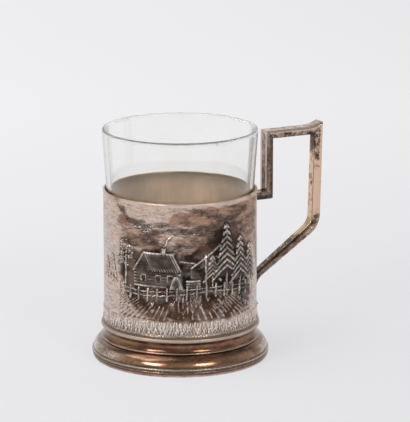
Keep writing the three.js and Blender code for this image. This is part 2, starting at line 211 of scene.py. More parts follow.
class Finish(Nodes):  # keeps the colour that has been laid so far
    def __init__(self, name, values, size=1.0, **settings):
        self.material = bpy.data.materials.new(name)
        self.material.use_nodes = True
        super().__init__(self.material.node_tree)
        self.shader = self.tree.nodes["Principled BSDF"]
        self.values, self.size, self.places = values, size, {}
        for key, value in settings.items():
            self.shader.inputs[key].default_value = value

    def coords(self, upright=1.0):  # object coordinates from the cup's axis
        if upright not in self.places:
            place = self.put("ShaderNodeTexCoord").outputs["Object"]
            feeds = {"Vector": place, "Location": (-axisX * mm, 0, 0), "Scale": (1, 1, upright)}
            self.places[upright] = self.put("ShaderNodeMapping", feeds).outputs[0]
        return self.places[upright]

    def noise(self, scale, detail=3.0, roughness=0.55, distortion=0.0, upright=1.0):
        feeds = {"Vector": self.coords(upright), "Scale": scale, "Detail": detail}
        feeds.update({"Roughness": roughness, "Distortion": distortion})
        return self.put("ShaderNodeTexNoise", feeds).outputs[0]

    def grain(self, name):
        return self.noise(*self.values[name])

    def pattern(self, name, lift=None, most=1.0):
        (scale, *rest), (low, high, *shares) = self.values[name]
        value = self.noise(scale * self.size, *rest)
        if lift is not None:
            value = self.plus(value, lift)
        start, end = shares or (0.0, 1.0)
        return self.spread(value, low, high, start * most, end * most)

    def stretch(self, name, value):
        return self.spread(value, *self.values[name])

    def toneOf(self, tone):  # from its name or three numbers; a colour made before stays
        if isinstance(tone, str):
            tone = self.values[tone]
        return srgb(*tone) if isinstance(tone, tuple) else tone

    def blend(self, share, first, second):
        feeds = {0: share, 6: self.toneOf(first), 7: self.toneOf(second)}
        return self.put("ShaderNodeMix", feeds, data_type="RGBA").outputs[2]

    def cover(self, share, tone):
        self.colour = self.blend(share, self.colour, tone)

    def attribute(self, name):
        return self.put("ShaderNodeAttribute", attribute_name=name).outputs["Fac"]

    def height(self):  # above the table, in mm
        return self.over(self.parts(self.coords())[2], mm)

    def radius(self):  # from the cup's axis, in mm
        out, away, _ = self.parts(self.coords())
        square = self.plus(self.times(out, out), self.times(away, away))
        return self.over(self.calc("SQRT", square), mm)

    def gloss(self, value):  # roughness between the two given ones
        return self.spread(value, 0.0, 1.0, *self.values["gloss"])

    def done(self, roughness, grain):
        strength, depth = self.values["bump"]
        feeds = {"Height": grain, "Strength": strength, "Distance": depth * mm}
        normal = self.put("ShaderNodeBump", feeds).outputs[0]
        for key, value in {"Base Color": self.colour, "Roughness": roughness, "Normal": normal}.items():
            self.tree.links.new(value, self.shader.inputs[key])
        return self.material


# Tarnished silver: two tones in clouds, a tint in long patches, grime in corners and bright rubbed edges; the
# foot also gets painted bands of shade and a painted reflection by height, a painted sheen at its ends and
# painted shade on its right side.
# Scales are multiples of the size of the clouds, apart from the scratches.
tarnish = {
    "clouds": ((1.0, 4, 0.6, 0.6), (0.35, 0.68)),
    "tints": ((0.8, 3, 0.5, 1.0, 3.0), (0.5, 0.66, 0.0, 0.6)),
    "olives": ((0.8, 3, 0.5, 1.0, 3.0), (0.46, 0.34, 0.0, 0.5)),
    "runs": ((0.9, 8, 0.72, 0.4, 6.0), (0.5, 0.64, 0.0, 0.7)),
    "specks": ((5.0, 8, 0.8, 0.0, 2.0), (0.48, 0.68)),
    "grimy": ((3.0,), (0.2, 0.6, 0.6, 1.0)),
    "rubs": ((1.0,), (0.3, 0.6, 0.6, 1.0)),
    "scratches": (700, 4, 0.65, 0.0, 7.0), "raggedDetail": (5, 0.65), "zoneScale": 1.5,
}
footTones = {
    "base": (192, 148, 118), "cloud": (168, 123, 96), "tint": (158, 106, 92), "olive": (150, 116, 82),
    # ends is a painted sheen for both ends of the foot as seen, shady a painted shade before the right end
    "speck": (76, 54, 44), "ends": (206, 197, 190), "shady": (104, 82, 70), "grime": (34, 22, 16),
    "rubbed": (206, 182, 164), "cloudSize": 110, "gloss": (0.12, 0.22), "bump": (0.25, 0.05),
    "specking": 0.75, "rubbing": 0.95,
    # stretches across the picture, from the cup's axis: a painted sheen at both ends and painted shade before
    # the right one
    "across": (0.89, -0.45, 0.0), "endsRagged": 30.0, "endsShift": 7.0, "endsShown": (23.0, 39.0, 0.0, 0.92),
    "shadyRagged": 15.0, "shadyFrom": (15.0, 23.0), "shadyTo": (38.0, 31.0, 0.0, 0.75),
}
neckTones = (128, 96, 70), (100, 66, 56)
shadeTones = (84, 66, 56), (58, 44, 38)
blackTones = (50, 35, 27), (36, 25, 19)
footZones = (  # from and to what height, softness, unevenness, share and two tones
    # The second zone below is a painted reflection: a lighter band across the neck.
    (10.4, 20.0, 0.3, 0.4, 1.0, *neckTones), (12.6, 13.4, 0.5, 0.6, 0.38, (176, 142, 116), (136, 100, 82)),
    # Painted shade: the first zone below is the dark band under the bead, where it overhangs the neck, with
    # grime; the second is a dark crease where the neck meets the ridge.
    (14.0, 20.0, 0.5, 0.3, 0.9, *blackTones), (10.4, 10.8, 0.3, 0.2, 0.7, *blackTones),
    # The first zone below is painted shade: a dark band under the ridge.
    (8.2, 9.35, 0.8, 1.6, 0.72, *shadeTones), (3.7, 4.4, 0.4, 0.25, 0.9, *blackTones),
    (0.0, 2.3, 0.2, 0.2, 1.0, (102, 77, 65), (80, 59, 49)), (2.0, 2.4, 0.2, 0.1, 0.85, *blackTones),
    (-1.0, 0.7, 0.6, 0.2, 0.8, (228, 200, 188), (206, 176, 164)),
)
wireTones = {
    "base": (202, 184, 171), "cloud": (186, 164, 150), "tint": (194, 166, 148), "olive": (180, 162, 140),
    "speck": (146, 126, 112), "grime": (112, 88, 72), "rubbed": (210, 192, 180),
    "cloudSize": 70, "gloss": (0.4, 0.5), "bump": (0.06, 0.05), "specking": 0.25, "rubbing": 0.6,
}
milledTones = {
    "base": (150, 130, 114), "cloud": (128, 108, 94), "tint": (140, 112, 96), "olive": (136, 124, 98),
    "speck": (86, 70, 58), "grime": (34, 26, 20), "rubbed": (226, 214, 200),
    "cloudSize": 150, "gloss": (0.22, 0.3), "bump": (0.08, 0.05), "specking": 0.2, "rubbing": 0.9,
}
milledZones = (
    (3.35, 4.0, 0.1, 0.0, 1.0, (172, 156, 142), (140, 124, 111)), (3.1, 3.3, 0.1, 0.0, 0.9, *blackTones),
    (2.0, 2.5, 0.15, 0.0, 0.9, *blackTones),
)


def uneven(look, scale):  # ragged values on both sides of 0
    return look.minus(look.noise(scale, *tarnish["raggedDetail"]), 0.5)


# Lays a painted sheen on both ends of the foot as seen, and painted shade on the bell before the right end.
def paintedEndSheenAndShade(look, tones):  # both ends of the foot as seen, and a shady patch before the right one
    across = look.over(look.along(look.coords(), tones["across"]), mm)
    ragged = uneven(look, tones["cloudSize"])
    outwards = look.calc("MAXIMUM", look.times(across, -1.0), look.minus(across, tones["endsShift"]))
    outwards = look.plus(outwards, look.times(ragged, tones["endsRagged"]))
    look.cover(look.stretch("endsShown", outwards), "ends")
    place = look.plus(across, look.times(ragged, tones["shadyRagged"]))
    look.cover(look.times(look.stretch("shadyFrom", place), look.stretch("shadyTo", place)), "shady")


def tarnishedSilver(name, tones, zones=()):
    look = Finish(name, {**tarnish, **tones}, tones["cloudSize"], Metallic=1.0)
    clouds, height = look.pattern("clouds"), look.height()
    look.colour = look.blend(clouds, "base", "cloud")
    if "ends" in tones:
        paintedEndSheenAndShade(look, tones)
    # bands by height; on the foot some of them are painted shade and one is a painted reflection
    for low, high, soft, ragged, share, first, second in zones:
        edge = look.times(uneven(look, tones["cloudSize"] * tarnish["zoneScale"]), ragged)
        level = look.plus(height, edge)
        lower = look.spread(level, low - soft, low)
        zone = look.times(lower, look.spread(level, high + soft, high, 0.0, share))
        look.cover(zone, look.blend(clouds, first, second))
    look.cover(look.pattern("tints"), "tint")
    look.cover(look.pattern("olives"), "olive")
    look.cover(look.pattern("runs", most=tones["specking"]), "speck")
    specks = look.pattern("specks", most=tones["specking"])
    look.cover(specks, "speck")
    look.cover(look.times(look.attribute("grime"), look.pattern("grimy")), "grime")
    look.cover(look.times(look.attribute("rubbed"), look.pattern("rubs", most=tones["rubbing"])), "rubbed")
    return look.done(look.gloss(look.calc("MAXIMUM", clouds, specks)), look.grain("scratches"))


footSilver = tarnishedSilver("footSilver", footTones, footZones)
wireSilver = tarnishedSilver("wireSilver", wireTones)
milledSilver = tarnishedSilver("milledSilver", milledTones, milledZones)

handleTones = {
    "dark": (66, 49, 40), "brown": (114, 88, 72), "grey": (198, 182, 173), "copper": (231, 193, 165),
    "gold": (210, 184, 152), "soot": (38, 27, 20), "grime": (40, 30, 24), "rubbed": (230, 214, 202),
    "clouds": ((260, 5, 0.65, 0.5), (0.4, 0.66)), "rubs": ((260,), (0.35, 0.6, 0.1, 0.7)),
    "mottle": (420, 7, 0.72, 0.4), "polished": (0.3, 0.7), "grain": (1400, 4), "bump": (0.12, 0.05),
    "gloss": (0.3, 0.2), "sootDown": (56, 48), "goldUp": (46, 53), "goldDown": (64, 58),
}


def handleFinish():  # dark in the hollows of the hand, rubbed bright where it is held
    look = Finish("handleSilver", handleTones, Metallic=1.0)
    clouds, height = look.pattern("clouds"), look.height()
    sooty = look.blend(clouds, "soot", "dark")
    dark = look.blend(look.stretch("sootDown", height), look.blend(clouds, "dark", "brown"), sooty)
    bright = look.blend(look.attribute("warm"), "grey", "copper")
    # the gold band round the elbow is rubbed wear with a painted highlight
    bend = look.times(look.stretch("goldUp", height), look.stretch("goldDown", height))
    bright = look.blend(bend, bright, "gold")
    mottle = look.minus(look.grain("mottle"), 0.5)
    polishAndPaintedLight = look.plus(look.attribute("polishAndPaintedLight"), look.times(mottle, look.attribute("spots")))
    polishAndPaintedLight = look.stretch("polished", polishAndPaintedLight)
    look.colour = look.blend(polishAndPaintedLight, dark, bright)
    look.cover(look.attribute("grime"), "grime")
    look.cover(look.times(look.attribute("rubbed"), look.pattern("rubs")), "rubbed")
    return look.done(look.gloss(polishAndPaintedLight), look.plus(mottle, look.grain("grain")))


handleSilver = handleFinish()

hatchBand = {  # heights from the bottom of the wall
    "count": 176, "rows": 4, "bottom": 4.0, "rowStep": 1.45, "stagger": 0.5, "tilt": 8.0,
    "halfWidth": 0.46, "halfLength": 1.5, "proud": 0.34, "unevenness": 0.6, "seed": 11,
    "flare": 0.8, "flareTop": 6.2, "flareHeight": 4.0, "ground": 3.4,
}
bandLow = wallBottom + hatchBand["ground"]
wallTones = {
    "clean": (221, 210, 202), "pink": (230, 205, 189), "speck": (120, 100, 88), "tan": (184, 144, 120),
    "cloud": (136, 92, 70), "smudge": (66, 58, 54), "oxide": (38, 34, 32), "brown": (88, 61, 47),
    # wornAndHighlight is rubbed wear on the raised crests, painted bright as a highlight too
    "wornAndHighlight": (236, 227, 218), "body": (88, 77, 69), "dirt": (92, 72, 54), "hollow": (150, 132, 120),
    "line": (132, 115, 104),
    "pinks": ((40, 5, 0.62, 0.0, 2.5), (0.36, 0.64)), "rusts": ((130, 8, 0.7, 0.0, 1.8), (0.42, 0.6)),
    "clouds": ((66, 10, 0.7, 0.3, 3.2), (0.56, 0.7)), "smudges": ((88, 10, 0.72, 0.3, 3.0), (0.61, 0.73)),
    "fine": ((420, 8, 0.8, 0.0, 2.0), (0.32, 0.58, 0.5, 1.0)),
    "specks": ((760, 7, 0.85, 0.0, 1.3), (0.45, 0.66, 0.0, 0.62)),
    "lines": ((240, 8, 0.75, 0.0, 9.0), (0.46, 0.66, 0.0, 0.85)),
    "browns": ((90, 8, 0.7), (0.42, 0.66)), "bodies": ((240, 6, 0.7), (0.3, 0.65, 0.25, 1.0)),
    "wear": ((420, 6, 0.7), (0.3, 0.65, 0.15, 1.0)), "patches": ((120, 4, 0.6), (0.36, 0.6, 0.4, 1.0)),
    "grain": (1100, 4, 0.7), "brushing": (500, 4, 0.65, 0.0, 9.0), "bump": (0.5, 0.07),
    "marking": 0.24, "marked": (0.0, 0.2), "gloss": (0.32, 0.44), "wornGloss": 0.07,
    "pinkTop": (-13.0, -3.0, 0.0, 0.85), "dirtFoot": (3.6, 2.5, 0.0, 0.9),  # from the top and the bottom
    "hollowUp": (0.0, 0.6), "hollowDown": (6.0, 1.5), "brownDown": (37.0, 26.0, 0.0, 0.25),
}


def wallFinish():
    look = Finish("wallSilver", wallTones, Metallic=1.0)
    height, cloudy, oxide = look.height(), look.attribute("cloud"), look.attribute("oxide")
    look.colour = look.blend(look.pattern("pinks"), "clean", "pink")
    look.cover(look.stretch("pinkTop", look.minus(height, wallTop)), "pink")
    fine = look.pattern("fine")
    clouds = look.times(look.pattern("clouds", look.times(cloudy, wallTones["marking"])), fine)
    clouds = look.times(clouds, look.stretch("marked", cloudy))
    look.cover(clouds, look.blend(look.pattern("rusts"), "tan", "cloud"))
    smudged = look.times(look.attribute("smudge"), wallTones["marking"])
    look.cover(look.times(look.pattern("smudges", smudged), fine), "smudge")
    look.cover(look.pattern("specks"), "speck")
    look.cover(look.pattern("lines"), "line")
    inBand = look.minus(height, bandLow)
    look.cover(look.times(look.stretch("hollowUp", inBand), look.stretch("hollowDown", inBand)), "hollow")
    look.cover(look.stretch("dirtFoot", look.minus(height, wallBottom)), "dirt")
    browns = look.pattern("browns", look.stretch("brownDown", height))
    look.cover(oxide, look.blend(browns, "oxide", "brown"))
    look.cover(look.times(look.attribute("body"), look.pattern("bodies")), "body")
    # rubbed crests of the relief: wear with a painted highlight
    wornAndHighlight = look.times(look.times(look.attribute("wornAndHighlight"), look.pattern("wear")), look.pattern("patches"))
    look.cover(wornAndHighlight, "wornAndHighlight")
    gloss = look.gloss(look.times(oxide, look.minus(1.0, wornAndHighlight)))
    gloss = look.minus(gloss, look.times(wornAndHighlight, wallTones["wornGloss"]))
    return look.done(gloss, look.plus(look.grain("grain"), look.grain("brushing")))


insideTones = {
    "pale": (234, 204, 178), "streak": (220, 188, 160), "patch": (206, 184, 158), "edge": (152, 136, 114),
    "streaks": ((330, 5, 0.6, 0.0, 0.06), (0.3, 0.7)),  # these run down the inside
    "patches": ((40, 3), (0.42, 0.62)), "ragged": (120, 4), "raggedHeight": 3.0,
    "edgeUp": (-3.5, 1.5, 0.0, 0.85),  # from the top of the wall
    "gloss": (0.38, 0.48), "grain": (900, 3, 0.55, 0.0, 0.06), "bump": (0.12, 0.05),
}


def insideFinish():
    look = Finish("insideSilver", insideTones, Metallic=0.8)
    streaks = look.pattern("streaks")
    look.colour = look.blend(streaks, "pale", "streak")
    look.cover(look.pattern("patches"), "patch")
    ragged = look.times(look.grain("ragged"), insideTones["raggedHeight"])
    level = look.minus(look.plus(look.height(), ragged), wallTop)
    look.cover(look.stretch("edgeUp", level), "edge")
    return look.done(look.gloss(streaks), look.grain("grain"))


rimTones = {
    "pale": (226, 204, 190), "dull": (206, 182, 166), "inner": (170, 148, 118), "stain": (136, 114, 98),
    "clouds": ((90, 5, 0.65), (0.38, 0.64)), "stains": ((60, 6, 0.7), (0.52, 0.66, 0.0, 0.7)),
    "inwards": (-0.35, -0.6),  # from the outside of the wall
    "gloss": (0.3, 0.42), "grain": (700, 4, 0.55, 0.0, 3.0), "bump": (0.08, 0.05),
}


def rimFinish():  # pale outside, toned olive where the glass rubs
    look = Finish("rimSilver", rimTones, Metallic=1.0)
    clouds = look.pattern("clouds")
    look.colour = look.blend(clouds, "pale", "dull")
    look.cover(look.stretch("inwards", look.minus(look.radius(), wallRadius)), "inner")
    look.cover(look.pattern("stains"), "stain")
    return look.done(look.gloss(clouds), look.grain("grain"))


strokeTones = {
    "bright": (240, 228, 219), "soft": (222, 205, 193), "low": (176, 162, 152),
    "flankLow": (84, 68, 57), "flankHigh": (170, 150, 137), "clouds": ((300, 3), (0.35, 0.65)),
    "outwards": (0.04, 0.26), "lowDown": (3.6, 0.4, 0.0, 0.7), "flankUp": (2.0, 6.0),
    "gloss": (0.46, 0.3), "grain": (1500, 3), "bump": (0.2, 0.04),
}


def strokeFinish():  # bright tops, dark flanks
    look = Finish("strokeSilver", strokeTones, Metallic=1.0)
    height = look.height()
    below = look.minus(wallBottom + hatchBand["flareTop"], height)
    below = look.held(look.over(below, hatchBand["flareHeight"]), 0.0, 1.0)
    flare = look.times(look.times(below, below), hatchBand["flare"])
    proud = look.minus(look.minus(look.radius(), flare), wallRadius)
    top = look.stretch("outwards", proud)
    inBand = look.minus(height, bandLow)
    bright = look.blend(look.pattern("clouds"), "bright", "soft")
    bright = look.blend(look.stretch("lowDown", inBand), bright, "low")
    flank = look.blend(look.stretch("flankUp", inBand), "flankLow", "flankHigh")
    look.colour = look.blend(top, flank, bright)
    return look.done(look.gloss(top), look.grain("grain"))


glassTones = {
    "clear": (254, 254, 253), "haze": (252, 252, 250), "edge": (160, 165, 156), "slanting": (0.6, 0.88),
    "hazing": (90, 3), "hazy": (0.3, 0.7), "hazeGloss": (0.3, 0.8, 0.0, 0.02),
    "ripples": (60, 2, 0.55, 0.0, 0.4), "bump": (0.03, 0.5), "through": (0.97, 0.97, 0.96, 1.0),
    "lipUp": (106.6, 107.8, 0.0, 0.36), "mirrored": 3.5, "deepest": 6.5,
}


def glassFinish():  # lamps shine through, so that what stands behind the glass is lit
    look = Finish("clearGlass", glassTones, Metallic=0.0, IOR=1.5, **{"Transmission Weight": 1.0})
    haze = look.grain("hazing")
    look.colour = look.blend(look.stretch("hazy", haze), "clear", "haze")
    facing = look.put("ShaderNodeLayerWeight", {"Blend": 0.5}).outputs["Facing"]
    look.cover(look.stretch("slanting", facing), "edge")
    material = look.done(look.stretch("hazeGloss", haze), look.grain("ripples"))
    clear = look.put("ShaderNodeBsdfTransparent", {"Color": glassTones["through"]}).outputs[0]
    path = look.put("ShaderNodeLightPath").outputs
    mirrored = look.calc("GREATER_THAN", path["Glossy Depth"], glassTones["mirrored"])
    deep = look.calc("GREATER_THAN", path["Ray Depth"], glassTones["deepest"])
    caught = look.calc("MAXIMUM", mirrored, deep)  # light caught in the wall is let go
    share = look.calc("MAXIMUM", path["Is Shadow Ray"], caught)
    share = look.calc("MAXIMUM", share, look.stretch("lipUp", look.height()))
    mixed = look.put("ShaderNodeMixShader", {0: share, 1: look.shader.outputs[0], 2: clear}).outputs[0]
    look.tree.links.new(mixed, look.tree.nodes["Material Output"].inputs["Surface"])
    return material


wallSilver = wallFinish()
insideSilver = insideFinish()
rimSilver = rimFinish()
strokeSilver = strokeFinish()
clearGlass = glassFinish()
print("finishes made")


# Outlines for turned pieces: points of radius and height, in mm

def arc(centre, radius, start, end, steps=8):
    turns = np.radians(np.linspace(start, end, steps + 1))
    return [(centre[0] + radius * math.cos(t), centre[1] + radius * math.sin(t)) for t in turns]


def curve(start, control, end, steps=10):
    def at(t):
        parts = zip(start, control, end)
        return tuple((1 - t) ** 2 * a + 2 * t * (1 - t) * b + t * t * c for a, b, c in parts)

    return [at(t) for t in np.linspace(0, 1, steps + 1)]


def straight(start, end, steps=20):
    return [tuple(a + (b - a) * t for a, b in zip(start, end)) for t in np.linspace(0, 1, steps + 1)]


def makeTurnedTree():
    shape = ShapeTree("turnedPiece", {
        "Profile": "Geometry", "Segments": "Int", "Axis X": "Float", "Crisp Angle": "Float",
        "Finish": "Material",
    })
    given, put = shape.given, shape.put
    count = put("GeometryNodeAttributeDomainSize", {"Geometry": given["Profile"]}).outputs["Point Count"]
    columns = shape.plus(given["Segments"], 1)
    sheet = put("GeometryNodeMeshGrid", {"Vertices X": columns, "Vertices Y": count}).outputs["Mesh"]
    column, row = shape.split(count)
    turn = shape.over(shape.times(column, 2 * math.pi), given["Segments"])
    place = put("GeometryNodeInputPosition").outputs[0]
    feeds = {"Geometry": given["Profile"], "Value": place, "Index": row}
    point = put("GeometryNodeSampleIndex", feeds, data_type="FLOAT_VECTOR", domain="POINT").outputs[0]
    out, _, up = shape.parts(point)
    feeds = {"Geometry": sheet, "Position": shape.onCircle(out, turn, up)}
    turned = put("GeometryNodeSetPosition", feeds).outputs[0]
    closed = put("GeometryNodeMergeByDistance", {"Geometry": turned, "Distance": 1e-6}).outputs[0]
    smooth = put("GeometryNodeSetShadeSmooth", {"Geometry": closed}, domain="FACE").outputs[0]
    angle = put("GeometryNodeInputMeshEdgeAngle").outputs["Unsigned Angle"]
    feeds = {0: angle, 1: given["Crisp Angle"]}
    soft = put("FunctionNodeCompare", feeds, operation="LESS_THAN").outputs[0]
    feeds = {"Geometry": smooth, "Shade Smooth": soft}
    return shape.done(put("GeometryNodeSetShadeSmooth", feeds, domain="EDGE").outputs[0])


turnedTree = makeTurnedTree()
turning = {"segments": 256, "crispAngle": 38.0}


def turnedPiece(name, outline, finish, edgeRadius=0.5):
    points = [outline[0]]
    for point in outline[1:]:  # drops doubled points where stretches meet
        if math.dist(point, points[-1]) > 1e-5:
            points.append(point)
    base = bpy.data.meshes.new(name)
    base.from_pydata([(r * mm, 0, z * mm) for r, z in points], [], [])
    values = {
        "Segments": turning["segments"], "Axis X": axisX * mm,
        "Crisp Angle": math.radians(turning["crispAngle"]), "Finish": finish,
    }
    piece = makeWith(turnedTree, name, base, values)
    closeUp(piece.data)
    markEdges(piece.data, edgeRadius)
    return piece


# Tea glass

glassShape = {
    "baseRadius": 30.2, "wall": 2.0, "base": 7.0, "baseRound": 1.6, "innerRound": 5.0, "sideInset": 0.4,
    "lipInset": 0.3, "punt": 0.8, "puntFrom": 0.55, "puntBend": 0.8, "puntTo": 0.9,
}


def makeGlass():
    shape = glassShape
    rim, bottom, top = roundNode("tea_glass")
    wall, inside, hollow = shape["wall"], bottom + shape["base"], bottom + shape["punt"]
    taper = (rim - shape["baseRadius"]) / (top - bottom)
    lip = wall / 2

    def outer(height, inset=0.0):
        return (shape["baseRadius"] + taper * (height - bottom) - inset, height)

    roundTop = bottom + shape["baseRound"]
    innerTop = inside + shape["innerRound"]
    sideTop = top - lip - shape["lipInset"]
    corner = outer(inside, wall)
    foot = shape["baseRadius"] - shape["baseRound"]
    puntBend = (foot * shape["puntBend"], hollow)
    floorEdge = (corner[0] - shape["innerRound"], inside)
    outline = [(0, hollow)]  # hollowed a little below, so that it stands on its edge
    outline += curve((foot * shape["puntFrom"], hollow), puntBend, (foot * shape["puntTo"], bottom))
    outline += curve((foot, bottom), (shape["baseRadius"], bottom), outer(roundTop))
    outline += straight(outer(roundTop + shape["sideInset"]), outer(sideTop), 40)
    outline += arc(outer(top - lip, lip), lip, 0, 180, 10)
    outline += straight(outer(sideTop, wall), outer(innerTop, wall), 40)
    outline += curve(outer(innerTop, wall), corner, floorEdge)
    outline += straight(floorEdge, (0, inside), 8)
    return turnedPiece("teaGlass", outline, clearGlass)


teaGlass = makeGlass()
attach(teaGlass, "glass")
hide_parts("tea_glass")
print("tea glass made")


# Rim wire and the stepped bead round the foot of the wall

rimShape = {"width": 0.8, "crown": 0.15, "innerRound": 0.25, "edge": 0.35}


def makeRimWire():
    outer, bottom, top = roundNode("rim_wire")
    inner, rounding = wallRadius - rimShape["width"], rimShape["innerRound"]
    middle = (bottom + top) / 2
    outline = [(inner, bottom), (wallRadius, bottom)]
    outline += curve((wallRadius, bottom), (outer, bottom), (outer, middle))
    outline += curve((outer, middle), (outer, top), (wallRadius - rimShape["crown"], top))
    outline += curve((inner + rounding, top), (inner, top), (inner, top - rounding), 5)
    outline.append((inner, bottom))
    return turnedPiece("rimWire", outline, rimSilver, rimShape["edge"])


beadShape = {
    "sunk": 0.3, "upperHeight": 0.55, "upperProud": 0.75, "groove": 0.4, "grooveHeight": 0.14,
    "lowerStart": 0.5, "lowerEnd": 0.3, "upperStart": 0.15, "upperEnd": 0.2, "edge": 0.35,
}


def makeBead():
    shape = beadShape
    outer, bottom, top = roundNode("base_bead")
    inner = wallRadius - shape["sunk"]  # let into the wall, as solder draws it in
    upper = wallRadius + shape["upperProud"]
    ledge = top - shape["upperHeight"]
    pit = wallRadius + shape["groove"]
    low, high = ledge - shape["grooveHeight"] / 2, ledge + shape["grooveHeight"] / 2
    middle, upperMiddle = (bottom + ledge) / 2, (ledge + top) / 2
    outline = [(inner, bottom)]
    outline += curve((wallRadius + shape["lowerStart"], bottom), (outer, bottom), (outer, middle))
    outline += curve((outer, middle), (outer, low), (pit + shape["lowerEnd"], low))
    outline += [(pit, ledge)]
    outline += curve((pit + shape["upperStart"], high), (upper, high), (upper, upperMiddle), 6)
    outline += curve((upper, upperMiddle), (upper, top), (wallRadius + shape["upperEnd"], top), 6)
    outline += [(inner, top), (inner, bottom)]
    return turnedPiece("baseBead", outline, wireSilver, shape["edge"])


rimWire = makeRimWire()
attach(rimWire, "holder")
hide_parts("rim_wire")
baseBead = makeBead()
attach(baseBead, "holder")
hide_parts("base_bead")
print("rim wire and bead made")


# Foot: a spun shell, and the ring that it stands on

footShape = {
    "shell": 0.9, "ledge": 7.5, "bellRound": 7.0, "bellFrom": 6.0, "bellTo": 61.0, "edge": 0.45,
    "ridge": 1.45, "ridgeHeight": 0.95, "ridgeStep": 0.25, "ridgeFrom": -80.0, "ridgeTo": 90.0,
    "neck": 0.25, "neckFlare": 1.1, "neckHeight": 4.5, "neckBend": 1.2, "neckTop": 0.7, "neckLip": 0.8,
}
ringShape = {"land": 3.0, "toe": 0.6, "topRound": 0.3, "edge": 0.45}


def makeFootShell():
    shape = footShape
    bell, bottom, top = roundNode("foot_shell")
    proud = ("neck", "neckTop", "neckFlare", "ridge")
    neck, neckTop, flare, ridge = (wallRadius + shape[key] for key in proud)
    shell, half, swell = shape["shell"], shape["ridgeHeight"] / 2, shape["bellRound"]
    ridgeTop = top - shape["neckHeight"]
    ridgeMiddle = ridgeTop - half
    start = math.radians(shape["bellFrom"])
    centre = (bell - swell * math.cos(start), bottom - swell * math.sin(start))
    inner, neckEnd = neck - shell, (neck, top - shape["neckLip"])
    outline = [(bell - shell, bottom)]
    outline += arc(centre, swell, shape["bellFrom"], shape["bellTo"], 26)
    outline += [(ridge - half - shape["ridgeStep"], ridgeMiddle - half)]
    outline += arc((ridge - half, ridgeMiddle), half, shape["ridgeFrom"], shape["ridgeTo"])
    outline += curve((flare, ridgeTop), (neck, ridgeTop + shape["neckBend"]), neckEnd, 18)
    outline += curve(neckEnd, (neck, top), (neckTop, top), 6)
    outline += [(inner - shape["ledge"], top), (inner - shape["ledge"], top - shell), (inner, top - shell)]
    outline += [(inner, ridgeMiddle), (bell - shell, bottom)]
    return turnedPiece("footShell", outline, footSilver, shape["edge"])


def makeFootRing():
    outer, bottom, top = roundNode("foot_base_ring")
    toe, rounding = ringShape["toe"], ringShape["topRound"]
    inner = outer - ringShape["land"]
    outline = [(inner, bottom), (outer - toe, bottom)]
    outline += curve((outer - toe, bottom), (outer, bottom + toe), (outer, top - rounding))
    outline += curve((outer, top - rounding), (outer, top), (outer - rounding, top), 4)
    outline += [(inner, top), (inner, bottom)]
    return turnedPiece("footBaseRing", outline, footSilver, ringShape["edge"])


footShell = makeFootShell()
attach(footShell, "holder")
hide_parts("foot_shell")
footRing = makeFootRing()
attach(footRing, "holder")
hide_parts("foot_base_ring")
print("foot made")


# Rows of one small shape round the cup: the beads of the milled wire and the strokes of the hatched band

strays = {"turn": 0.5, "row": 0.3, "lean": 0.9, "size": 0.35}  # how far chance may move each one


def makeRowTree():
    shape = ShapeTree("shapesInRows", {
        "Core": "Geometry", "Count": "Int", "Rows": "Int", "Axis X": "Float", "Radius": "Float",
        "Height": "Float", "Row Step": "Float", "Stagger": "Float", "Size": "Vector", "Tilt": "Float",
        "Unevenness": "Float", "Flare": "Float", "Flare Top": "Float", "Flare Height": "Float",
        "Seed": "Int", "Finish": "Material",
    })
    given, put, plus, times = shape.given, shape.put, shape.plus, shape.times
    points = put("GeometryNodePoints", {"Count": times(given["Count"], given["Rows"])}).outputs[0]
    row, column = shape.split(given["Count"])

    def chance(key, offset):  # evenly spread on both sides of 0, times the unevenness
        feeds = {2: -strays[key], 3: strays[key], "Seed": plus(given["Seed"], offset)}
        value = put("FunctionNodeRandomValue", feeds, data_type="FLOAT").outputs[1]
        return times(value, given["Unevenness"])

    shifted = plus(plus(column, times(row, given["Stagger"])), chance("turn", 0))
    turn = shape.over(times(shifted, 2 * math.pi), given["Count"])
    lift = plus(given["Height"], times(plus(row, chance("row", 1)), given["Row Step"]))
    below = shape.over(shape.minus(given["Flare Top"], lift), given["Flare Height"])
    below = shape.held(below, 0.0, 1.0)
    radius = plus(given["Radius"], times(given["Flare"], times(below, below)))
    feeds = {"Geometry": points, "Position": shape.onCircle(radius, turn, lift)}
    placed = put("GeometryNodeSetPosition", feeds).outputs[0]
    swing = shape.minus(1.0, times(shape.calc("MODULO", column, 2.0), 2.0))
    lean = times(given["Tilt"], plus(swing, chance("lean", 2)))
    rotation = shape.joined(0.0, lean, shape.minus(turn, math.pi / 2))
    feeds = {0: given["Size"], "Scale": plus(1.0, chance("size", 3))}
    size = put("ShaderNodeVectorMath", feeds, operation="SCALE").outputs[0]
    grain = put("GeometryNodeMeshUVSphere", {"Segments": 8, "Rings": 5, "Radius": 1.0}).outputs[0]
    feeds = {"Points": placed, "Instance": grain, "Rotation": rotation, "Scale": size}
    rows = put("GeometryNodeInstanceOnPoints", feeds).outputs[0]
    smooth = put("GeometryNodeSetShadeSmooth", {"Geometry": rows}).outputs[0]
    whole = put("GeometryNodeJoinGeometry")
    for geometry in (given["Core"], smooth):
        shape.tree.links.new(geometry, whole.inputs[0])
    return shape.done(whole.outputs[0])


rowTree = makeRowTree()
milledWire = {
    "beads": 440, "land": 3.0, "lip": 0.34, "lipFrom": -60.0, "beadBottom": 0.06, "beadTop": 0.95,
    "beadShare": 0.4, "beadSunk": 0.03, "recess": 0.42, "edge": 0.4, "seed": 3,
}


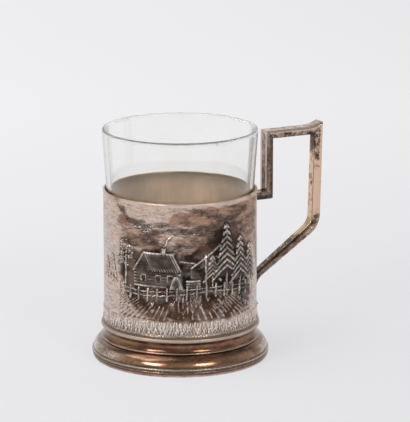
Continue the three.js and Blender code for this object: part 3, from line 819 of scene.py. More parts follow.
def makeMilledWire():
    shape = milledWire
    outer, bottom, top = roundNode("milled_wire")
    lip, inner, recess = shape["lip"], outer - shape["land"], outer - shape["recess"]
    low, high = bottom + shape["beadBottom"], bottom + shape["beadTop"]
    core = [(inner, bottom), (recess, bottom), (recess, high)]
    core += arc((outer - lip, top - lip), lip, shape["lipFrom"], 90) + [(inner, top), (inner, bottom)]
    base = turnedPiece("milledCore", core, milledSilver, shape["edge"])
    halfBead = 2 * math.pi * outer / shape["beads"] * shape["beadShare"]
    size = Vector((halfBead, shape["recess"] - shape["beadSunk"], (high - low) / 2)) * mm
    values = {
        "Count": shape["beads"], "Rows": 1, "Axis X": axisX * mm, "Radius": recess * mm,
        "Height": (low + high) / 2 * mm, "Size": size, "Seed": shape["seed"], "Finish": milledSilver,
    }
    piece = makeWith(rowTree, "milledWire", base.data, values)
    bpy.data.objects.remove(base)
    return piece


def makeHatchBand():
    shape = hatchBand
    values = {
        "Count": shape["count"], "Rows": shape["rows"], "Axis X": axisX * mm, "Radius": wallRadius * mm,
        "Height": (wallBottom + shape["bottom"]) * mm, "Row Step": shape["rowStep"] * mm,
        "Stagger": shape["stagger"], "Tilt": math.radians(shape["tilt"]),
        "Size": Vector((shape["halfWidth"], shape["proud"], shape["halfLength"])) * mm,
        "Flare": shape["flare"] * mm, "Flare Top": (wallBottom + shape["flareTop"]) * mm,
        "Flare Height": shape["flareHeight"] * mm,
        "Unevenness": shape["unevenness"], "Seed": shape["seed"], "Finish": strokeSilver,
    }
    return makeWith(rowTree, "hatchedBand", bpy.data.meshes.new("hatchedBand"), values)


milledPiece = makeMilledWire()
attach(milledPiece, "holder")
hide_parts("milled_wire")
hatchedBand = makeHatchBand()
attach(hatchedBand, "holder")
print("milled wire and hatched band made")


# Wall, with a country scene chased in low relief. The scene is drawn in mm on the unrolled wall:
# s runs round it from the side that faces the camera, and z is the height above the table.

wallShape = {
    "thickness": 0.8, "fineFrom": -80.0, "fineTo": 72.0, "fineStep": 0.45, "coarseStep": 2.5,
    "reliefLow": 24.4, "reliefHigh": 73.0, "rowStep": 0.28, "rowsBelow": 12, "rowsAbove": 6, "rowsInside": 9,
    "outline": 0.34, "groove": 0.16, "crispAngle": 78.0,
}


def wallColumns():  # angles from the front, in degrees, close together where the relief is
    shape = wallShape
    fine = np.arange(shape["fineFrom"], shape["fineTo"], shape["fineStep"])
    rest = 360 - (shape["fineTo"] - shape["fineFrom"])
    coarse = shape["fineTo"] + np.linspace(0, rest, int(rest / shape["coarseStep"]), endpoint=False)
    return np.concatenate([fine, coarse])


def wallRows():
    shape = wallShape
    low = np.linspace(wallBottom, shape["reliefLow"], shape["rowsBelow"], endpoint=False)
    middle = np.arange(shape["reliefLow"], shape["reliefHigh"], shape["rowStep"])
    high = np.linspace(shape["reliefHigh"], wallTop, shape["rowsAbove"])
    return np.concatenate([low, middle, high])


columns = wallColumns()
wrapped = (columns + 180) % 360 - 180
s, z = np.meshgrid(np.radians(wrapped) * wallRadius, wallRows())  # one row of the array for each height
noiseGrid = {"cells": 400, "startS": 190, "startZ": 20}


def softNoise(cell, seed):  # smooth random values from 0 to 1 over the unrolled wall
    count = noiseGrid["cells"]
    grid = np.random.default_rng(seed).random((count, count))
    x, y = s / cell + noiseGrid["startS"], z / cell + noiseGrid["startZ"]
    i, j = np.floor(x).astype(int) % (count - 1), np.floor(y).astype(int) % (count - 1)
    u, v = x - np.floor(x), y - np.floor(y)
    u, v = u * u * (3 - 2 * u), v * v * (3 - 2 * v)
    low = grid[j, i] * (1 - u) + grid[j, i + 1] * u
    high = grid[j + 1, i] * (1 - u) + grid[j + 1, i + 1] * u
    return low * (1 - v) + high * v


def cloudNoise(cell, seed, octaves=4):
    total = sum(softNoise(cell / 2 ** k, seed + 100 * k) / 2 ** k for k in range(octaves))
    return total / sum(1 / 2 ** k for k in range(octaves))


def step(value, low, high):  # smooth 0 to 1
    share = np.clip((value - low) / (high - low), 0, 1)
    return share * share * (3 - 2 * share)


def lineDistance(points):
    best = np.full(s.shape, 1e3)
    for (s0, z0), (s1, z1) in zip(points, points[1:]):
        ds, dz = s1 - s0, z1 - z0
        along = np.clip(((s - s0) * ds + (z - z0) * dz) / (ds * ds + dz * dz), 0, 1)
        best = np.minimum(best, np.hypot(s - s0 - along * ds, z - z0 - along * dz))
    return best


def areaDistance(points):  # below 0 inside
    best = lineDistance(points + points[:1])
    inside = np.zeros(s.shape, bool)
    for (s0, z0), (s1, z1) in zip(points, points[1:] + points[:1]):
        if z0 != z1:
            inside ^= ((z0 > z) != (z1 > z)) & (s < s0 + (z - z0) * (s1 - s0) / (z1 - z0))
    return np.where(inside, -best, best)


canvas = {"relief": np.zeros(s.shape)}


def swelling(distance, edge):  # 0 at a shape's outline, rising in a quarter circle to 1
    return np.sqrt(np.clip(1 - np.clip(1 + distance / edge, 0, 1) ** 2, 0, 1))


def lay(distance, height, cut):  # puts a shape on the relief, with a sunk line round it
    line = np.exp(-(np.clip(distance, 0, None) / wallShape["outline"]) ** 2) * cut
    around = np.maximum(canvas["relief"] - wallShape["groove"] * line, -wallShape["groove"])
    canvas["relief"] = np.where(distance < 0, height, around)


def stamp(points, rise, edge, cut=1.0):  # a body, which covers what lies there
    distance = areaDistance(points)
    lay(distance, rise * swelling(distance, edge), cut)


def ridge(points, width, rise, cut=1.0):  # a raised line on what lies there
    distance = lineDistance(points) - width
    below = canvas["relief"]
    lay(distance, below + np.maximum(rise - below, 0) * swelling(distance, width), cut)


def dome(centre, radius, rise, flat=1.0):
    away = np.hypot(s - centre[0], (z - centre[1]) / flat)
    below = canvas["relief"]
    lay(away - radius, below + np.maximum(rise - below, 0) * swelling(away - radius, radius), 1.0)


def oval(at, up, halfWidth, halfHeight, turn):
    turns = np.linspace(0, turn, 17)
    return [(at + halfWidth * math.cos(t), up + halfHeight * math.sin(t)) for t in turns]


def block(left, right, low, high):
    return [(left, low), (right, low), (right, high), (left, high)]


# What is drawn. Bodies have a rise, an edge and a cut, lines a half width, a rise and a cut.

hillShape = {
    "crest": [
        (-31, 40), (-24, 53), (-14, 51.5), (-4, 54.5), (8, 52.5), (18, 55.5), (30, 53), (43, 49), (43, 40),
    ],
    "body": (0.22, 2.0, 0.4),
    "lines": ((0, (0.34, 0.4, 0.5)), (2.6, (0.34, 0.34, 0.5)), (5.0, (0.34, 0.32, 0.5))),
}
fieldShape = {
    "outline": [
        (-31.5, 26.5), (-30, 37), (-22, 40.5), (0, 41.5), (22, 41), (40, 39.5), (43.5, 35), (42, 27),
        (22, 25.6), (-12, 25.6),
    ],
    "body": (0.3, 2.4, 0.0), "horizon": 52.0, "vanish": 4.0, "bottom": 25.2, "pitch": 2.9, "furrow": 0.44,
    "waver": 2.2, "waverCell": 7.0, "sharpness": 2.8, "brokenCell": 3.4, "broken": (0.36, 0.62),
    "least": 0.2, "sunk": 0.35, "clod": 0.16, "clodCell": 0.55, "seeds": (21, 22, 23),
    "lowEdge": (-0.6, 0.8), "top": 42.5, "topFade": 3.0, "left": (-33.0, -29.0),
    "right": 43.0, "rightFade": 4.0,
}


def hills():
    stamp(hillShape["crest"], *hillShape["body"])
    for drop, line in hillShape["lines"]:
        ridge([(at, up - drop) for at, up in hillShape["crest"][1:-1]], *line)


def furrows():  # ploughed ridges that fan out from the horizon
    shape = fieldShape
    stamp(shape["outline"], *shape["body"])
    waverSeed, brokenSeed, clodSeed = shape["seeds"]
    depth = np.clip(shape["horizon"] - z, 1.0, None) / (shape["horizon"] - shape["bottom"])
    lane = (s - shape["vanish"]) / depth + shape["waver"] * (softNoise(shape["waverCell"], waverSeed) - 0.5)
    wave = (0.5 + 0.5 * np.cos(2 * math.pi * lane / shape["pitch"])) ** shape["sharpness"]
    broken = step(cloudNoise(shape["brokenCell"], brokenSeed, 2), *shape["broken"])
    wave = wave * (shape["least"] + (1 - shape["least"]) * broken)
    clods = (softNoise(shape["clodCell"], clodSeed) - 0.5) * shape["clod"]
    reach = step(z - shape["bottom"], *shape["lowEdge"]) * step(shape["top"] - z, 0, shape["topFade"])
    reach = reach * step(s, *shape["left"]) * step(shape["right"] - s, 0, shape["rightFade"])
    canvas["relief"] = canvas["relief"] + reach * (shape["furrow"] * (wave - shape["sunk"]) + clods)


firShape = {
    "rise": 0.6, "edge": 1.8, "cut": 0.6, "skirt": 0.16, "root": 1.5, "lowest": 0.36, "climb": 0.76,
    "least": 0.1, "tipDrop": (0.72, 0.8), "bendDrop": (0.3, 0.4), "twigs": (0.45, 0.75), "twigDrop": 0.54,
    "twigReach": (0.5, 1.3), "trunk": (0.4, 0.7, 1.0), "bough": (0.5, 0.86, 0.8), "twig": (0.3, 0.72, 0.5),
}
firs = (  # place, foot, height, reach and tiers
    (15.5, 43.0, 13.0, 4.2, 5), (23.0, 40.0, 29.0, 7.0, 8), (39.0, 40.0, 18.0, 5.4, 6),
    (31.5, 38.6, 24.0, 6.4, 7),
)


def fir(at, base, height, reach, tiers, proud=1.0):
    shape = firShape

    def line(points, key):
        width, rise, cut = shape[key]
        ridge(points, width, rise * proud, cut)

    def under(top, key):  # how far a bough has come down
        return top - span * shape[key][0] - shape[key][1]

    skirt = base + height * shape["skirt"]
    body = [(at - reach, skirt), (at + reach, skirt), (at, base + height)]
    stamp(body, shape["rise"] * proud, shape["edge"], shape["cut"])
    line([(at, base - shape["root"]), (at, base + height)], "trunk")
    for tier in range(tiers):
        share = tier / tiers
        top = base + height * (shape["lowest"] + shape["climb"] * share)
        span = reach * (1 - share) + shape["least"]
        for side in (-1, 1):
            bend = (at + side * span * 0.5, under(top, "bendDrop"))
            line([(at, top), bend, (at + side * span, under(top, "tipDrop"))], "bough")
            for part in shape["twigs"]:
                twig = (at + side * span * part, top - span * part * shape["twigDrop"])
                out, down = shape["twigReach"]
                line([twig, (twig[0] + side * out, twig[1] - down)], "twig")


crown = {
    "at": -27.0, "base": 39.0, "seed": 8, "body": (0.3, 1.6, 0.7),
    "trunkFoot": -0.6, "trunkBend": (-0.2, 6.0), "trunk": (0.5, 0.6),
    "lobes": ((0.0, 54.6, 4.0, 5.2), (-2.4, 52.2, 2.6, 2.8), (2.2, 56.8, 2.5, 3.2), (-1.2, 59.4, 2.7, 3.2)),
    "clumps": 17, "crowding": 0.6, "leafSizes": (0.45, 0.9), "leaf": (0.56, 0.8),
}


def leafyTree():
    draw = np.random.default_rng(crown["seed"])
    at, base = crown["at"], crown["base"]
    for aside, *lobe in crown["lobes"]:
        stamp(oval(at + aside, *lobe, 2 * math.pi)[:-1], *crown["body"])
    aside, up = crown["trunkBend"]
    trunk = [(at + crown["trunkFoot"], base), (at + aside, base + up), (at, crown["lobes"][0][1])]
    ridge(trunk, *crown["trunk"])
    for aside, middle, halfWidth, halfHeight in crown["lobes"]:
        for _ in range(crown["clumps"]):
            turn, away = draw.uniform(0, 2 * math.pi), draw.uniform(0, 1) ** crown["crowding"]
            out, up = away * halfWidth * math.cos(turn), away * halfHeight * math.sin(turn)
            dome((at + aside + out, middle + up), draw.uniform(*crown["leafSizes"]), *crown["leaf"])


cottageShape = {
    "left": -21.0, "base": 41.0, "gable": 8.0, "side": 12.5, "logs": 6, "logHeight": 1.45,
    "body": (0.55, 0.9), "logEnds": (0.7, 0.5), "logLine": (0.667, 0.66, 0.5), "boards": 4,
    "boardHeight": 1.5, "boardLine": (0.6, 0.62, 0.5), "roof": 7.6, "overhang": 1.4, "drop": 0.7,
    "ridgeInset": 2.4, "roofBody": (0.8, 0.9), "straws": (0.04, 0.98, 12), "strawTop": 0.3,
    "strawLine": (0.36, 0.9, 0.4), "verge": (1.3, 1.2), "vergeEnd": 0.4, "vergeLine": (0.5, 1.0, 0.8),
    "windows": (3.2, 8.6, -4.0), "windowHalf": 1.1, "windowLow": 3.0, "windowHigh": 5.9, "pane": (0.1, 0.3),
    "frame": (0.26, 0.8, 0.5), "chimney": -8.4, "chimneyWidth": 2.2, "chimneySunk": 2.5, "chimneyAbove": 2.6,
    "chimneyBody": (0.8, 0.6),
}
smokeShape = {
    "start": (1.1, 0.5), "drift": 4.6, "bend": 1.3, "sway": 0.5, "swayTurn": 8, "height": 6.0,
    "width": 0.2, "swell": 0.3, "swellTo": 2.5, "thin": 0.36, "thinFrom": 3.0, "thinTo": 6.4,
    "line": (0.3, 0.5),
}


def smoke(stack, high):  # swells above the chimney, then thins out
    shape = smokeShape
    aside, up = shape["start"]

    def at(t):
        sway = shape["sway"] * math.sin(shape["swayTurn"] * t)
        return (stack + aside + shape["drift"] * t ** shape["bend"] + sway, high + up + shape["height"] * t)

    width = shape["width"] + shape["swell"] * step(z, high, high + shape["swellTo"])
    width = width - shape["thin"] * step(z, high + shape["thinFrom"], high + shape["thinTo"])
    ridge([at(t) for t in np.linspace(0, 1, 16)], width, *shape["line"])


def cottage():
    shape = cottageShape
    left, base, log = shape["left"], shape["base"], shape["logHeight"]
    corner, right = left + shape["gable"], left + shape["gable"] + shape["side"]
    eaves = base + shape["logs"] * log
    peak = (left + shape["gable"] / 2, eaves + shape["roof"])
    stamp([(left, base), (right, base), (right, eaves), (corner, eaves), peak, (left, eaves)], *shape["body"])
    for course in range(shape["logs"]):
        level = base + (course + 0.5) * log
        ridge([(left - shape["logEnds"][0], level), (right + shape["logEnds"][1], level)], *shape["logLine"])
    for course in range(shape["boards"]):
        level = eaves + (course + 0.5) * shape["boardHeight"]
        reach = (shape["gable"] / 2) * (1 - (level - eaves) / shape["roof"])
        ridge([(peak[0] - reach, level), (peak[0] + reach, level)], *shape["boardLine"])
    far, end = (right - shape["ridgeInset"], peak[1]), right + shape["overhang"]
    roofEdge = eaves - shape["drop"]
    stamp([(corner, roofEdge), (end, roofEdge), far, peak], *shape["roofBody"])
    for share in np.linspace(*shape["straws"]):  # thatch
        top = (peak[0] + (far[0] - peak[0]) * share, peak[1] - shape["strawTop"])
        ridge([top, (corner + (end - corner) * share, roofEdge)], *shape["strawLine"])
    verge = (left - shape["verge"][0], eaves - shape["verge"][1])
    ridge([verge, peak, (far[0] + shape["vergeEnd"], far[1])], *shape["vergeLine"])
    for aside in shape["windows"]:
        middle, half = corner + aside, shape["windowHalf"]
        window = block(middle - half, middle + half, base + shape["windowLow"], base + shape["windowHigh"])
        stamp(window, *shape["pane"])
        ridge(window + window[:1], *shape["frame"])
    stack, high = shape["chimney"], peak[1] + shape["chimneyAbove"]
    chimney = block(stack, stack + shape["chimneyWidth"], peak[1] - shape["chimneySunk"], high)
    stamp(chimney, *shape["chimneyBody"])
    smoke(stack, high)


wellShape = {
    "left": 3.2, "width": 6.4, "base": 40.0, "height": 5.0, "body": (0.55, 0.8),
    "logs": 4, "firstLog": 0.6, "logStep": 1.25, "logInset": 0.2, "logLine": (0.6, 0.7, 0.5),
    "pole": ([(12.4, 39.5), (12.2, 56.2)], 0.5, 0.8), "rope": ([(5.2, 50.4), (5.6, 46.2)], 0.2, 0.5),
    "sweep": ([(5.2, 50.4), (12.2, 55.2), (19.2, 60.4)], 0.36, 0.86), "weight": ((19.4, 60.2), 0.9, 0.8),
}


def well():  # log well with a sweep pole
    shape = wellShape
    left, base = shape["left"], shape["base"]
    right, inset = left + shape["width"], shape["logInset"]
    stamp(block(left, right, base, base + shape["height"]), *shape["body"])
    for course in range(shape["logs"]):
        level = base + shape["firstLog"] + shape["logStep"] * course
        ridge([(left + inset, level), (right - inset, level)], *shape["logLine"])
    for part in ("pole", "sweep", "rope"):
        ridge(*shape[part])
    dome(*shape["weight"])


stackShape = {
    "at": -1.6, "base": 40.0, "halfWidth": 3.8, "height": 7.0, "body": (0.8, 1.6), "straws": (-0.75, 0.75, 7),
    "strawTop": (0.25, 0.94), "strawFoot": (0.94, 0.6), "strawLine": (0.28, 0.9, 0.4),
}


def haystack():
    at, base, width, height = (stackShape[key] for key in ("at", "base", "halfWidth", "height"))
    stamp(oval(at, base, width, height, math.pi), *stackShape["body"])
    (topShare, topHeight), (footShare, footHeight) = stackShape["strawTop"], stackShape["strawFoot"]
    for share in np.linspace(*stackShape["straws"]):
        top = (at + width * topShare * share, base + height * topHeight)
        ridge([top, (at + width * share * footShare, base + footHeight)], *stackShape["strawLine"])


fenceShape = {
    "level": 36.4, "wave": 1.2, "waveLength": 11, "fall": 0.012, "rails": (1.6, 3.5),
    "railRun": (-30.5, 41.5, 1.5), "sway": 0.25, "swayTurn": 1.7, "railLine": (0.3, 0.6, 0.9),
    "posts": (-29.0, 41.0, 4.6), "postFoot": 0.8, "postTop": 5.0, "postLean": 0.25,
    "postLine": (0.46, 0.8, 0.9),
}


def fence():
    shape = fenceShape

    def base(at):
        return shape["level"] + shape["wave"] * math.sin(at / shape["waveLength"]) - shape["fall"] * at

    def onRail(at, rail):
        return (at, base(at) + rail + shape["sway"] * math.sin(at * shape["swayTurn"] + rail))

    for rail in shape["rails"]:
        ridge([onRail(at, rail) for at in np.arange(*shape["railRun"])], *shape["railLine"])
    for at in np.arange(*shape["posts"]):
        top = (at + shape["postLean"], base(at) + shape["postTop"])
        ridge([(at, base(at) - shape["postFoot"]), top], *shape["postLine"])


tuftShape = {
    "count": 64, "seed": 5, "across": (-31, 42), "up": (28, 39.5), "leans": (-0.8, -0.1, 0.7),
    "length": (1.2, 2.2), "line": (0.2, 0.5, 0.5),
}


def tufts():  # grass at the foot of the fence and in the open field
    draw = np.random.default_rng(tuftShape["seed"])
    for _ in range(tuftShape["count"]):
        at, base = draw.uniform(*tuftShape["across"]), draw.uniform(*tuftShape["up"])
        for lean in tuftShape["leans"]:
            ridge([(at, base), (at + lean, base + draw.uniform(*tuftShape["length"]))], *tuftShape["line"])


birdShape = {
    "flock": ((-20.5, 68.4, 1.7), (-16.0, 66.6, 1.4), (-13.4, 69.4, 1.5), (8.0, 66.0, 1.5)),
    "bend": (0.5, 0.75), "tip": (1.0, 0.35), "line": (0.27, 0.5, 0.8),
}


def birds():
    for at, level, span in birdShape["flock"]:
        for side in (-1, 1):
            wing = [(at + side * span * out, level + up) for out, up in (birdShape["bend"], birdShape["tip"])]
            ridge([(at, level), *wing], *birdShape["line"])


farShape = {
    "crest": [(-50, 40.6), (-46, 41.8), (-42, 42.2), (-38, 41.8), (-34, 40.8)], "line": (0.3, 0.6),
    "width": 0.05, "growth": 0.3, "growing": (-50, -43),
    "firs": ((-43.4, 42.6, 8.0, 2.6, 4, 0.5), (-37.8, 42.0, 11.0, 3.2, 5, 0.5)),
}


def farHill():  # the quiet side of the scene, towards the left: a low rise with two young firs
    width = farShape["width"] + farShape["growth"] * step(s, *farShape["growing"])
    ridge(farShape["crest"], width, *farShape["line"])
    for young in farShape["firs"]:
        fir(*young)


hills()
furrows()
farHill()
leafyTree()
for grown in firs:
    fir(*grown)
cottage()
well()
haystack()
tufts()
fence()
birds()
print("relief drawn")


# Wear, tarnish and painted highlights of the wall, from 0 to about 1: rubbed heights, which also carry a
# painted highlight, bodies, the dark patch, stains in the sky

patchShape = {
    "outline": [
        (-14, 25.2), (-20, 28), (-25.5, 33), (-29, 40), (-30.5, 46), (-30, 52), (-27.5, 57), (-23, 59),
        (-19, 59), (-14, 61.5), (-8, 62), (-2, 59), (4, 59.5), (10, 61.5), (15, 64.5), (20, 69), (25, 68.5),
        (29, 64.5), (35, 60.5), (39.5, 57.5), (41, 50), (41.5, 38), (38.5, 27.5), (24, 25.2), (4, 24.4),
    ],
    "ragged": 7.0, "raggedNoise": (5.0, 41), "edge": (-1.2, 2.2), "least": 0.8, "mottleNoise": (4.0, 43),
    "mottle": (0.36, 0.6), "blur": 4, "wornAndHighlight": (0.06, 0.23), "body": (0.36, 0.75), "sunk": (0.015, 0.12),
    "sunkShare": 0.75,
}
skyShape = {
    "low": 57, "full": 62, "right": (34, 40), "rightDrop": 6, "rightRise": 5, "top": 79.4, "topFade": 2.2,
    "left": (-36, -26), "end": 54, "endFade": 12,
    "cloud": 0.72, "cloudMore": 0.62, "cloudRight": (6, 19),
    "rim": 0.45, "rimEdge": (-4.0, -0.5), "rimEnd": (42, 6),
    "smudge": 0.5, "smudgeEdge": (-6.0, -1.0), "smudgeLess": 0.45, "lessRight": (24, 34),
    "smudgeMore": 0.36, "moreRight": (10, 20),
    "runs": (  # a dark run in the sky, and old tarnish at its left end: line, share and edge
        ([(-31, 77), (-26, 73), (-18, 69), (-8, 67.6), (4, 68), (14, 69.5)], 1.0, (-5.0, -0.2)),
        ([(-47, 75), (-43, 70), (-38, 67)], 0.3, (-7.0, -0.5)),
    ),
    "breaks": (  # where both clear up: line, reach and share
        ([(-23, 76.5), (-7, 76)], 5.2, 0.95), ([(-6, 63.5), (1, 62.5)], 5.0, 0.5),
    ),
    "breakCore": 0.4,
}


def blurred(values, reach):  # bell-shaped running mean in both directions
    kernel = np.exp(-0.5 * (np.arange(-3 * reach, 3 * reach + 1) / reach) ** 2)
    kernel /= kernel.sum()

    def smooth(line):
        return np.convolve(np.pad(line, 3 * reach, mode="edge"), kernel, "valid")

    for axis in (0, 1):
        values = np.apply_along_axis(smooth, axis, values)
    return values


def wearAndHighlightMarks(patch):
    shape = patchShape
    lifted = relief - blurred(relief, shape["blur"])
    mottle = step(cloudNoise(*shape["mottleNoise"]), *shape["mottle"])
    oxide = step(-patch, *shape["edge"]) * (shape["least"] + (1 - shape["least"]) * mottle)
    oxide = np.clip(np.maximum(oxide, step(-lifted, *shape["sunk"]) * shape["sunkShare"]), 0, 1)
    return {"wornAndHighlight": step(lifted, *shape["wornAndHighlight"]), "body": step(relief, *shape["body"]), "oxide": oxide}


def skyMarks(patch):
    shape = skyShape
    right = step(s, *shape["right"])
    low, full = shape["low"] - shape["rightDrop"] * right, shape["full"] + shape["rightRise"] * right
    sky = step(z, low, full) * step(shape["top"] - z, 0, shape["topFade"])
    sky = sky * step(s, *shape["left"]) * step(shape["end"] - s, 0, shape["endFade"])
    rimEnd, rimFade = shape["rimEnd"]
    rim = shape["rim"] * step(-patch, *shape["rimEdge"]) * step(rimEnd - s, 0, rimFade)
    cloud = sky * (shape["cloud"] + shape["cloudMore"] * step(s, *shape["cloudRight"])) + rim
    smudge = shape["smudge"] + (1 - shape["smudge"]) * step(-patch, *shape["smudgeEdge"])
    smudge = sky * smudge * (1 - shape["smudgeLess"] * step(s, *shape["lessRight"]))
    smudge = smudge + sky * shape["smudgeMore"] * step(s, *shape["moreRight"])
    for line, share, edge in shape["runs"]:
        smudge = np.maximum(smudge, share * step(-lineDistance(line), *edge))
    for line, reach, share in shape["breaks"]:
        clear = 1 - share * step(-lineDistance(line), -reach, -shape["breakCore"] * reach)
        cloud, smudge = cloud * clear, smudge * clear
    return {"smudge": smudge, "cloud": cloud}


relief = canvas["relief"]
ragged = patchShape["ragged"] * (cloudNoise(*patchShape["raggedNoise"]) - 0.5)
patch = areaDistance(patchShape["outline"]) + ragged
marks = {**wearAndHighlightMarks(patch), **skyMarks(patch)}


def makeWall():
    height, width = s.shape
    angles = np.radians(columns) + frontAngle
    below = np.clip((wallBottom + hatchBand["flareTop"] - z) / hatchBand["flareHeight"], 0, 1)
    radius = wallRadius + relief + hatchBand["flare"] * below ** 2
    outer = np.stack([axisX + radius * np.cos(angles), radius * np.sin(angles), z], -1).reshape(-1, 3)
    innerRows = np.linspace(wallBottom, wallTop, wallShape["rowsInside"])
    innerRadius = wallRadius - wallShape["thickness"]
    ring = np.stack([axisX + innerRadius * np.cos(angles), innerRadius * np.sin(angles)], -1)
    inner = np.concatenate([np.column_stack([ring, np.full(width, level)]) for level in innerRows])
    now = np.arange(width)
    after = (now + 1) % width

    def strip(low, high):
        return np.stack([low + now, low + after, high + after, high + now], -1)

    first = height * width
    faces = [strip(row * width, (row + 1) * width) for row in range(height - 1)]
    outerCount = (height - 1) * width
    faces += [strip(first + (row + 1) * width, first + row * width) for row in range(len(innerRows) - 1)]
    faces.append(strip((height - 1) * width, first + (len(innerRows) - 1) * width))
    faces.append(strip(first, 0))
    mesh = bpy.data.meshes.new("holderWall")
    mesh.from_pydata((np.concatenate([outer, inner]) * mm).tolist(), [], np.concatenate(faces).tolist())
    mesh.materials.append(wallSilver)
    mesh.materials.append(insideSilver)
    finish = np.ones(len(mesh.polygons), np.int32)
    finish[:outerCount] = 0
    mesh.polygons.foreach_set("material_index", finish)
    mesh.polygons.foreach_set("use_smooth", np.ones(len(mesh.polygons), bool))
    mesh.set_sharp_from_angle(angle=math.radians(wallShape["crispAngle"]))
    for name, values in marks.items():
        setAttribute(mesh, name, np.concatenate([values.ravel(), np.zeros(len(inner))]))
    return linked("holderWall", mesh)


holderWall = makeWall()
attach(holderWall, "holder")
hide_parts("holder_wall")
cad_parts["floor_disc"].material_slots[0].material = insideSilver
print("wall made,", len(holderWall.data.polygons), "faces")


# Handle: four bars with one section, mitred together. Outlines lie in the upright plane through the
# cup's axis; each cut across a bar is an outer point, a finger point and a share of the full width.

handleShape = {
    "thickness": 4.0, "outerWidth": 6.8, "lipWidth": 7.8, "line": 1.3, "lineEdge": 0.3, "lipDepth": 0.9,
    "fingerWidth": 4.4, "edgeRound": 0.4, "sideFullness": 0.3, "edge": 0.6, "crispAngle": 42.0,
    "mitre": 0.03, "bevel": 0.16, "sink": 0.5, "armFlare": 0.12, "armFlareLength": 1.6, "thumbLength": 8.0,
    "gripLean": 1.1, "elbowBelowRim": 19.7, "elbowRadius": 12.0, "tailThickness": 3.1, "tailLipWidth": 5.8,
    "tailGap": 0.3, "tailBend": 7.0, "tailTopAboveBead": 10.2, "tailFlare": 1.3, "tailFlareHeight": 3.5,
    "tailFlareBend": 1.5,
    # where the finger side begins and how it fades in, and the same for the lip
    "fingerEdge": 0.45, "fingerFade": 0.3, "lipMiddle": 0.6, "lipMost": 1.5,
}
cutCounts = {
    "arm": 8, "post": 16, "top": 10, "thumb": 14, "grip": 14, "elbow": 30, "slant": 20, "bend": 24, "tail": 9,
}
# How bright each side is, rubbed, with a painted highlight on the elbow and painted shade low on the post's
# face, how coppery it is and how spotted.
# A value is followed by its changes: by how much, and from and to what height.
postWearAndShade = {
    # The face toward the cup is darker lower down, brightening from 80 to 102 mm: painted shade.
    "side": (0.34,), "face": (0.38, (0.14, 80, 102)), "line": (0.9,), "lip": (0.4,), "finger": (0.2,),
    "warm": (0.14,), "spots": 0.7,
}
topWear = {
    "side": (0.43,), "face": (0.56,), "line": (0.5,), "lip": (0.72,), "finger": (0.2,),
    "warm": (0.35,), "spots": 1.7,
}
# On the grip bar the rise round the elbow, from 46 to 54 mm on the sides and from 45 to 51 mm on the finger
# side, is rubbed wear with a painted highlight.
heldSideAndHighlight = (-0.15, (0.58, 46, 54), (0.52, 59, 67), (-0.52, 80, 93))  # dark low down, then bright, then spotted
heldLip = (0.45, (0.35, 58, 64))
gripWearAndHighlight = {
    "side": heldSideAndHighlight, "face": heldSideAndHighlight, "line": heldLip, "lip": heldLip,
    "finger": (0.38, (0.4, 45, 51), (-0.18, 60, 66), (-0.34, 93, 100)),
    "warm": (0.85, (0.05, 48, 60)), "spots": 1.7,
}


def wearAt(values, up):
    return values[0] + sum(change * step(up, low, high) for change, low, high in values[1:])


def barSection():  # depth and half width in mm, with rounded corners and sides a little full
    shape = handleShape
    cut, full = shape["edgeRound"], shape["sideFullness"]
    face, lip = (0.0, shape["outerWidth"] / 2), (shape["lipDepth"], shape["lipWidth"] / 2)
    finger = (shape["thickness"], shape["fingerWidth"] / 2)
    run = math.dist(lip, finger)
    middle = tuple((a + b) / 2 for a, b in zip(lip, finger))
    belly = (middle[0] + (lip[1] - finger[1]) / run * full, middle[1] + (finger[0] - lip[0]) / run * full)

    def towards(start, end):
        share = cut / math.dist(start, end)
        return tuple(a + (b - a) * share for a, b in zip(start, end))

    inner = face[1] - shape["line"]
    half = [(0.0, inner - shape["lineEdge"]), (0.0, inner)]
    half += curve((0.0, face[1] - cut), face, towards(face, lip), 4)
    half += curve(towards(lip, face), lip, towards(lip, belly), 4)
    half += curve(towards(lip, belly), belly, towards(finger, belly), 8)[1:]
    half += curve(towards(finger, belly), finger, (finger[0], finger[1] - cut), 4)[1:]
    return np.array(half + [(depth, -across) for depth, across in reversed(half)])


